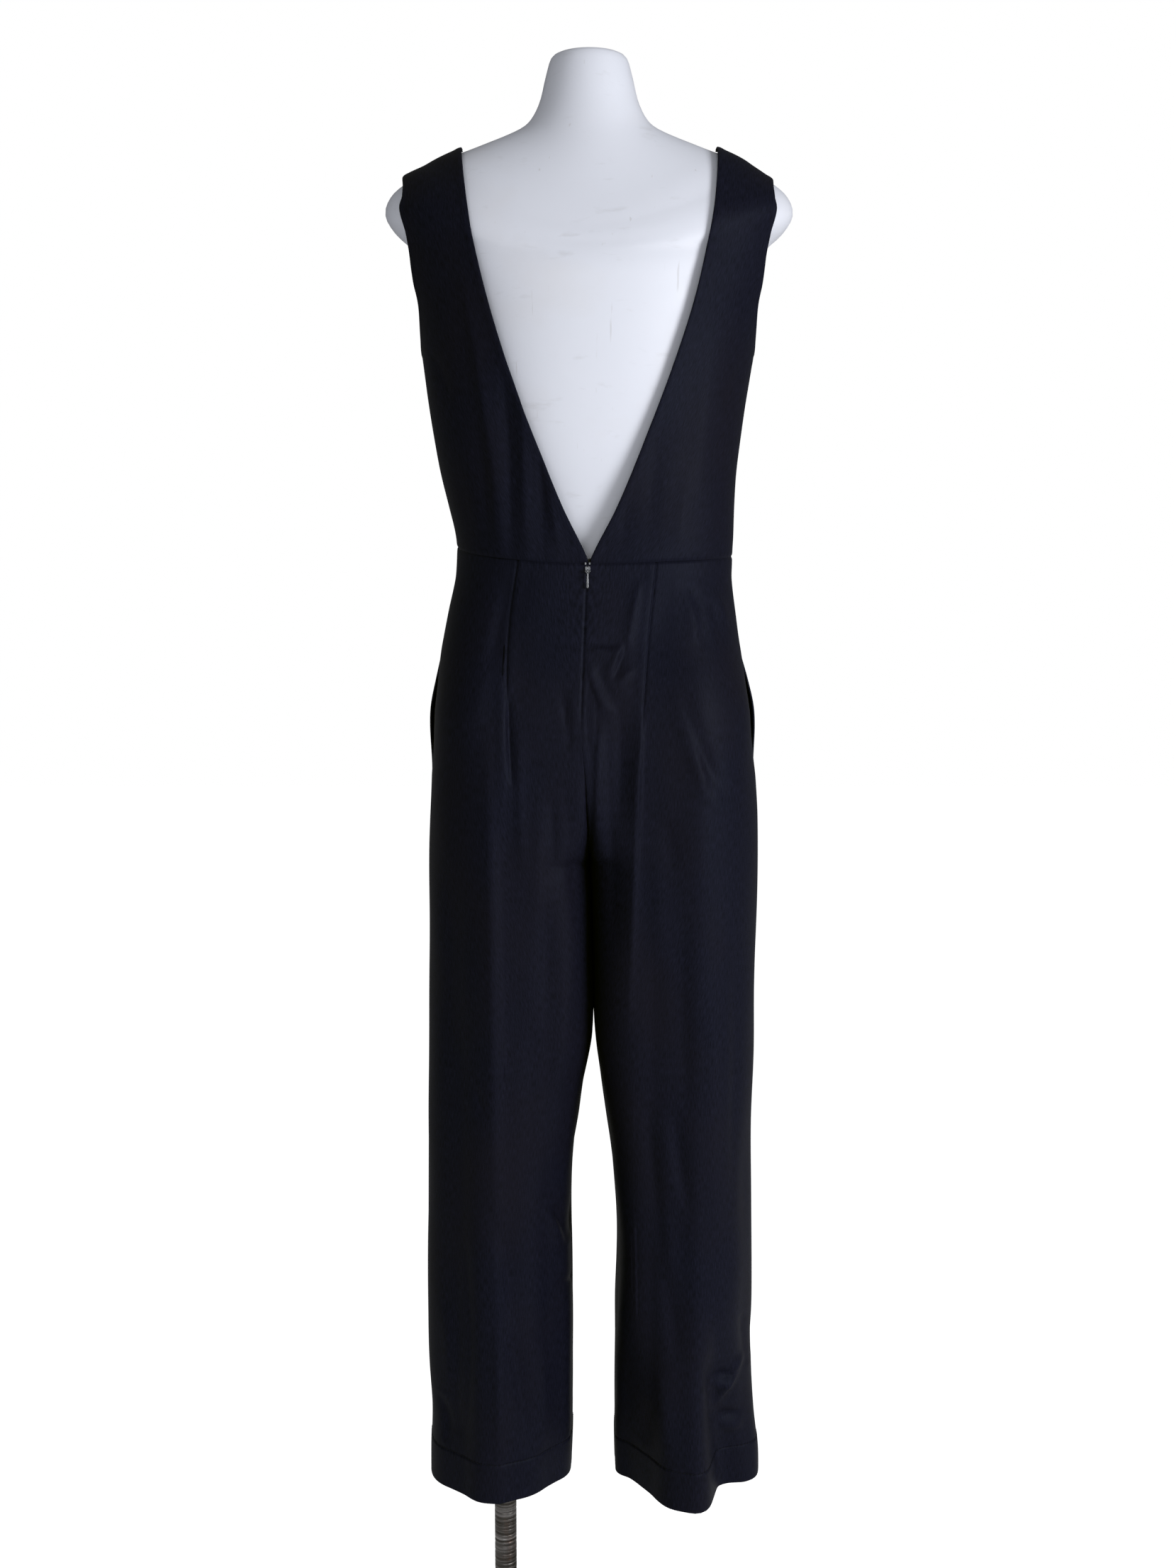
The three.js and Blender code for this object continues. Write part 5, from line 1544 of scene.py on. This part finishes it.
class JUMPSUIT_OT_zip(bpy.types.Operator):
    """Build the zip's tape, slider, stops and pull tab"""

    bl_idname = "jumpsuit.zip"
    bl_label = "Zip"

    def execute(self, context):
        settings = context.scene.jumpsuit_zip
        metal = zip_finish(settings)
        hinge = np.array(frame["joints"][0]["pos_m"]) / MM
        self.build_tape()
        self.build_slider(metal, hinge)
        self.build_tab(metal, hinge, settings)
        return {"FINISHED"}

    def build_tape(self):
        u = np.linspace(-0.5, 0.5, TAPE_COLUMNS)[None, :]
        height = np.linspace(ZIP_TAPE_TOP, ZIP_TAPE_BOTTOM, TAPE_ROWS)[:, None]
        flush = trouser_point("left", BACK, np.zeros_like(height), np.minimum(height, WAIST_BACK - 1))
        aside = u * ZIP_TAPE_WIDTH
        x = flush[..., 0] + aside
        y = flush[..., 1] - ZIP_TAPE_DEPTH - 0.012 * aside**2
        points = np.stack((x, y, height + 0 * x), axis=-1)
        finish = bpy.data.materials["pocketing"]
        run = path_lengths(points, axis=1)
        fall = path_lengths(points, axis=0)
        uv = np.stack((run, -fall), axis=-1).reshape(-1, 2)
        quads = grid_quads(TAPE_ROWS, TAPE_COLUMNS, 1)
        flat = points.reshape(-1, 3)
        piece = cloth_piece("zip_tape_woven", flat, quads, uv, ZIP_TAPE_WALL, finish)
        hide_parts("zip_tape")

    def build_slider(self, metal, hinge):
        low, high = (np.array(corner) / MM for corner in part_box("zip_slider"))
        width = high[0] - low[0]
        plate_y = low[1] + PLATE_WALL / 2
        half, top, bottom = width / 2, high[2] - hinge[2], low[2] - hinge[2]
        outline = [
            (-half * 0.55, bottom), (half * 0.55, bottom), (half * 0.85, bottom + 1.6), (half, bottom + 3.4),
            (half, top - 1.4), (half * 0.7, top - 0.3), (0.5, top), (0, top - 0.9), (-0.5, top),
            (-half * 0.7, top - 0.3), (-half, top - 1.4), (-half, bottom + 3.4), (-half * 0.85, bottom + 1.6),
        ]

        def upright(points):
            return np.column_stack((hinge[0] + points[:, 0], plate_y - points[:, 2], hinge[2] + points[:, 1]))

        plate = bevelled("slider_plate", outline, PLATE_WALL, 0.35, metal, GARMENT_BODY, upright)
        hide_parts("zip_slider")
        ear_depth = high[1] - low[1]
        ear = [
            (0, -1.5), (ear_depth * 0.6, -1.5), (ear_depth - 0.5, -0.9), (ear_depth, 0),
            (ear_depth - 0.5, 0.9), (ear_depth * 0.6, 1.5), (0, 1.5),
        ]
        for index, side in enumerate((-1, 1)):
            x = hinge[0] + side * (half - EAR_WALL / 2)

            def sideways(points, x=x):
                return np.column_stack((x + points[:, 2], low[1] + points[:, 0], hinge[2] + points[:, 1]))

            bevelled(f"slider_ear_{index + 1}", ear, EAR_WALL, 0.25, metal, GARMENT_BODY, sideways)
        points, faces = turned([(BAIL_RADIUS, -half + 0.5), (BAIL_RADIUS, half - 0.5)], 20)
        bar = np.column_stack((hinge[0] + points[:, 2], hinge[1] + points[:, 0], hinge[2] + points[:, 1]))
        _, faces = capped(bar, faces, 20)
        set_sharp(new_piece("slider_bail", bar, faces, metal))
        for index, side in enumerate((-1, 1)):
            stop = [(-0.9, -1.3), (0.9, -1.3), (0.9, 1.3), (-0.9, 1.3)]
            x = hinge[0] + side * STOP_ASIDE
            z = high[2] + STOP_RISE

            def above(points, x=x, z=z):
                return np.column_stack((x + points[:, 0], plate_y - points[:, 2], z + points[:, 1]))

            bevelled(f"top_stop_{index + 1}", stop, STOP_WALL, 0.4, metal, GARMENT_BODY, above)

    def build_tab(self, metal, hinge, settings):
        low, high = (np.array(corner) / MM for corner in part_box("zip_pull_tab"))
        eye_half = (high[0] - low[0]) / 2 - 0.15
        tip = settings.tab_width / 2
        length = settings.tab_length
        turns = np.radians(np.linspace(180, 360, 11))
        arc = [(tip * math.cos(turn), -length + tip + tip * math.sin(turn)) for turn in turns]
        neck = min(eye_half, 0.8)
        widest = -length * 0.62
        outline = [
            (-neck, -1.4), (-neck, -3.2), (-tip, widest), *arc, (tip, widest), (neck, -3.2), (neck, -1.4),
        ]

        def upright(points):
            return hinge + np.column_stack((points[:, 0], -points[:, 2], points[:, 1]))

        plate = bevelled("tab_plate", outline, TAB_WALL, 0.32, metal, TAB_BODY, upright)
        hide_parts("zip_pull_tab")
        section = [
            (EYE_OUTER, -neck), (EYE_OUTER, neck), (EYE_INNER, neck), (EYE_INNER, -neck),
            (EYE_OUTER, -neck),
        ]
        points, faces = turned(section, 28)
        eye = np.column_stack((hinge[0] + points[:, 2], hinge[1] + points[:, 0], hinge[2] + points[:, 1]))
        set_sharp(new_piece("tab_eye", eye, faces, metal, body=TAB_BODY))


class JUMPSUIT_OT_stand(bpy.types.Operator):
    """Build the pole, its flange and collar, and the base plate"""

    bl_idname = "jumpsuit.stand"
    bl_label = "Stand"

    def execute(self, context):
        settings = context.scene.jumpsuit_stand
        steel = pole_finish(settings)
        paint = base_finish(settings)
        pole_box = [np.array(corner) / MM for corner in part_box("stand_pole")]
        heights = np.unique(np.concatenate((
            np.linspace(pole_box[0][2], pole_box[1][2], 120),
            np.linspace(130, 260, 320),
        )))
        radius = np.full_like(heights, settings.pole_radius)
        for at, depth, width in zip(*POLE_RINGS.values()):
            radius += groove(heights - at, width, depth)
        pole = np.column_stack((radius, heights))
        x = settings.pole_x
        stand_part("pole", pole, POLE_SIDES, steel, "stand_pole", x, has_lids=True, sharp=50)

        bore = settings.pole_radius + 0.5
        low, high = (corner[2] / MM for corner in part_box("form_flange"))
        flange = [
            (bore, low), (16, low), (18, low + 1), (18.4, low + 5), (20, low + 9), (26, low + 12),
            *rounded_corner(28, low + 13.6, 1.4), *rounded_corner(28, high, 0.8), (bore, high), (bore, low),
        ]
        stand_part("flange", flange, FITTING_SIDES, steel, "form_flange", x)

        low, high = (corner[2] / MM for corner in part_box("stand_collar"))
        collar = [
            (bore, low), (25.4, low), (26, low + 0.8), (26, low + 3.6), *rounded_corner(26, low + 5, 1.2),
            (20.5, low + 7.5), (18.6, low + 10), (18, low + 14), *rounded_corner(18, high, 1.6),
            (bore, high), (bore, low),
        ]
        stand_part("collar", collar, FITTING_SIDES, steel, "stand_collar", x)

        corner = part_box("stand_base")[1]
        radius, top = corner[0] / MM, corner[2] / MM
        plate = [
            (8, 0), (radius - 1, 0), (radius, 1), *rounded_corner(radius, top, 3, steps=8),
            (radius - 60, top), (8, top),
        ]
        stand_part("base_plate", plate, BASE_SIDES, paint, "stand_base", has_lids=True)
        return {"FINISHED"}


class JUMPSUIT_PT_panel(bpy.types.Panel):
    """Steps and settings of the jumpsuit"""

    bl_label = "Jumpsuit"
    bl_space_type = "VIEW_3D"
    bl_region_type = "UI"
    bl_category = "Jumpsuit"

    def draw(self, context):
        for step in STEPS:
            self.layout.operator(step.bl_idname)
        for name in SETTINGS:
            box = self.layout.box()
            settings = getattr(context.scene, name)
            for prop in settings.bl_rna.properties:
                if prop.identifier not in ("rna_type", "name"):
                    box.prop(settings, prop.identifier)


STEPS = (
    JUMPSUIT_OT_stage,
    JUMPSUIT_OT_form,
    JUMPSUIT_OT_stand,
    JUMPSUIT_OT_trousers,
    JUMPSUIT_OT_bodice,
    JUMPSUIT_OT_pockets,
    JUMPSUIT_OT_zip,
)
SETTINGS = {
    "jumpsuit_cloth": ClothSettings,
    "jumpsuit_form": FormSettings,
    "jumpsuit_stand": StandSettings,
    "jumpsuit_zip": ZipSettings,
    "jumpsuit_stage": StageSettings,
}


def register():
    for name, group in SETTINGS.items():
        bpy.utils.register_class(group)
        setattr(bpy.types.Scene, name, bpy.props.PointerProperty(type=group))
    for step in STEPS:
        bpy.utils.register_class(step)
    bpy.utils.register_class(JUMPSUIT_PT_panel)


def unregister():
    bpy.utils.unregister_class(JUMPSUIT_PT_panel)
    for step in reversed(STEPS):
        bpy.utils.unregister_class(step)
    for name, group in reversed(SETTINGS.items()):
        delattr(bpy.types.Scene, name)
        bpy.utils.unregister_class(group)


def main():
    register()
    bpy.ops.jumpsuit.stage()
    bpy.ops.jumpsuit.form()
    bpy.ops.jumpsuit.stand()
    bpy.ops.jumpsuit.trousers()
    bpy.ops.jumpsuit.bodice()
    bpy.ops.jumpsuit.pockets()
    bpy.ops.jumpsuit.zip()


if __name__ == "__main__":
    main()
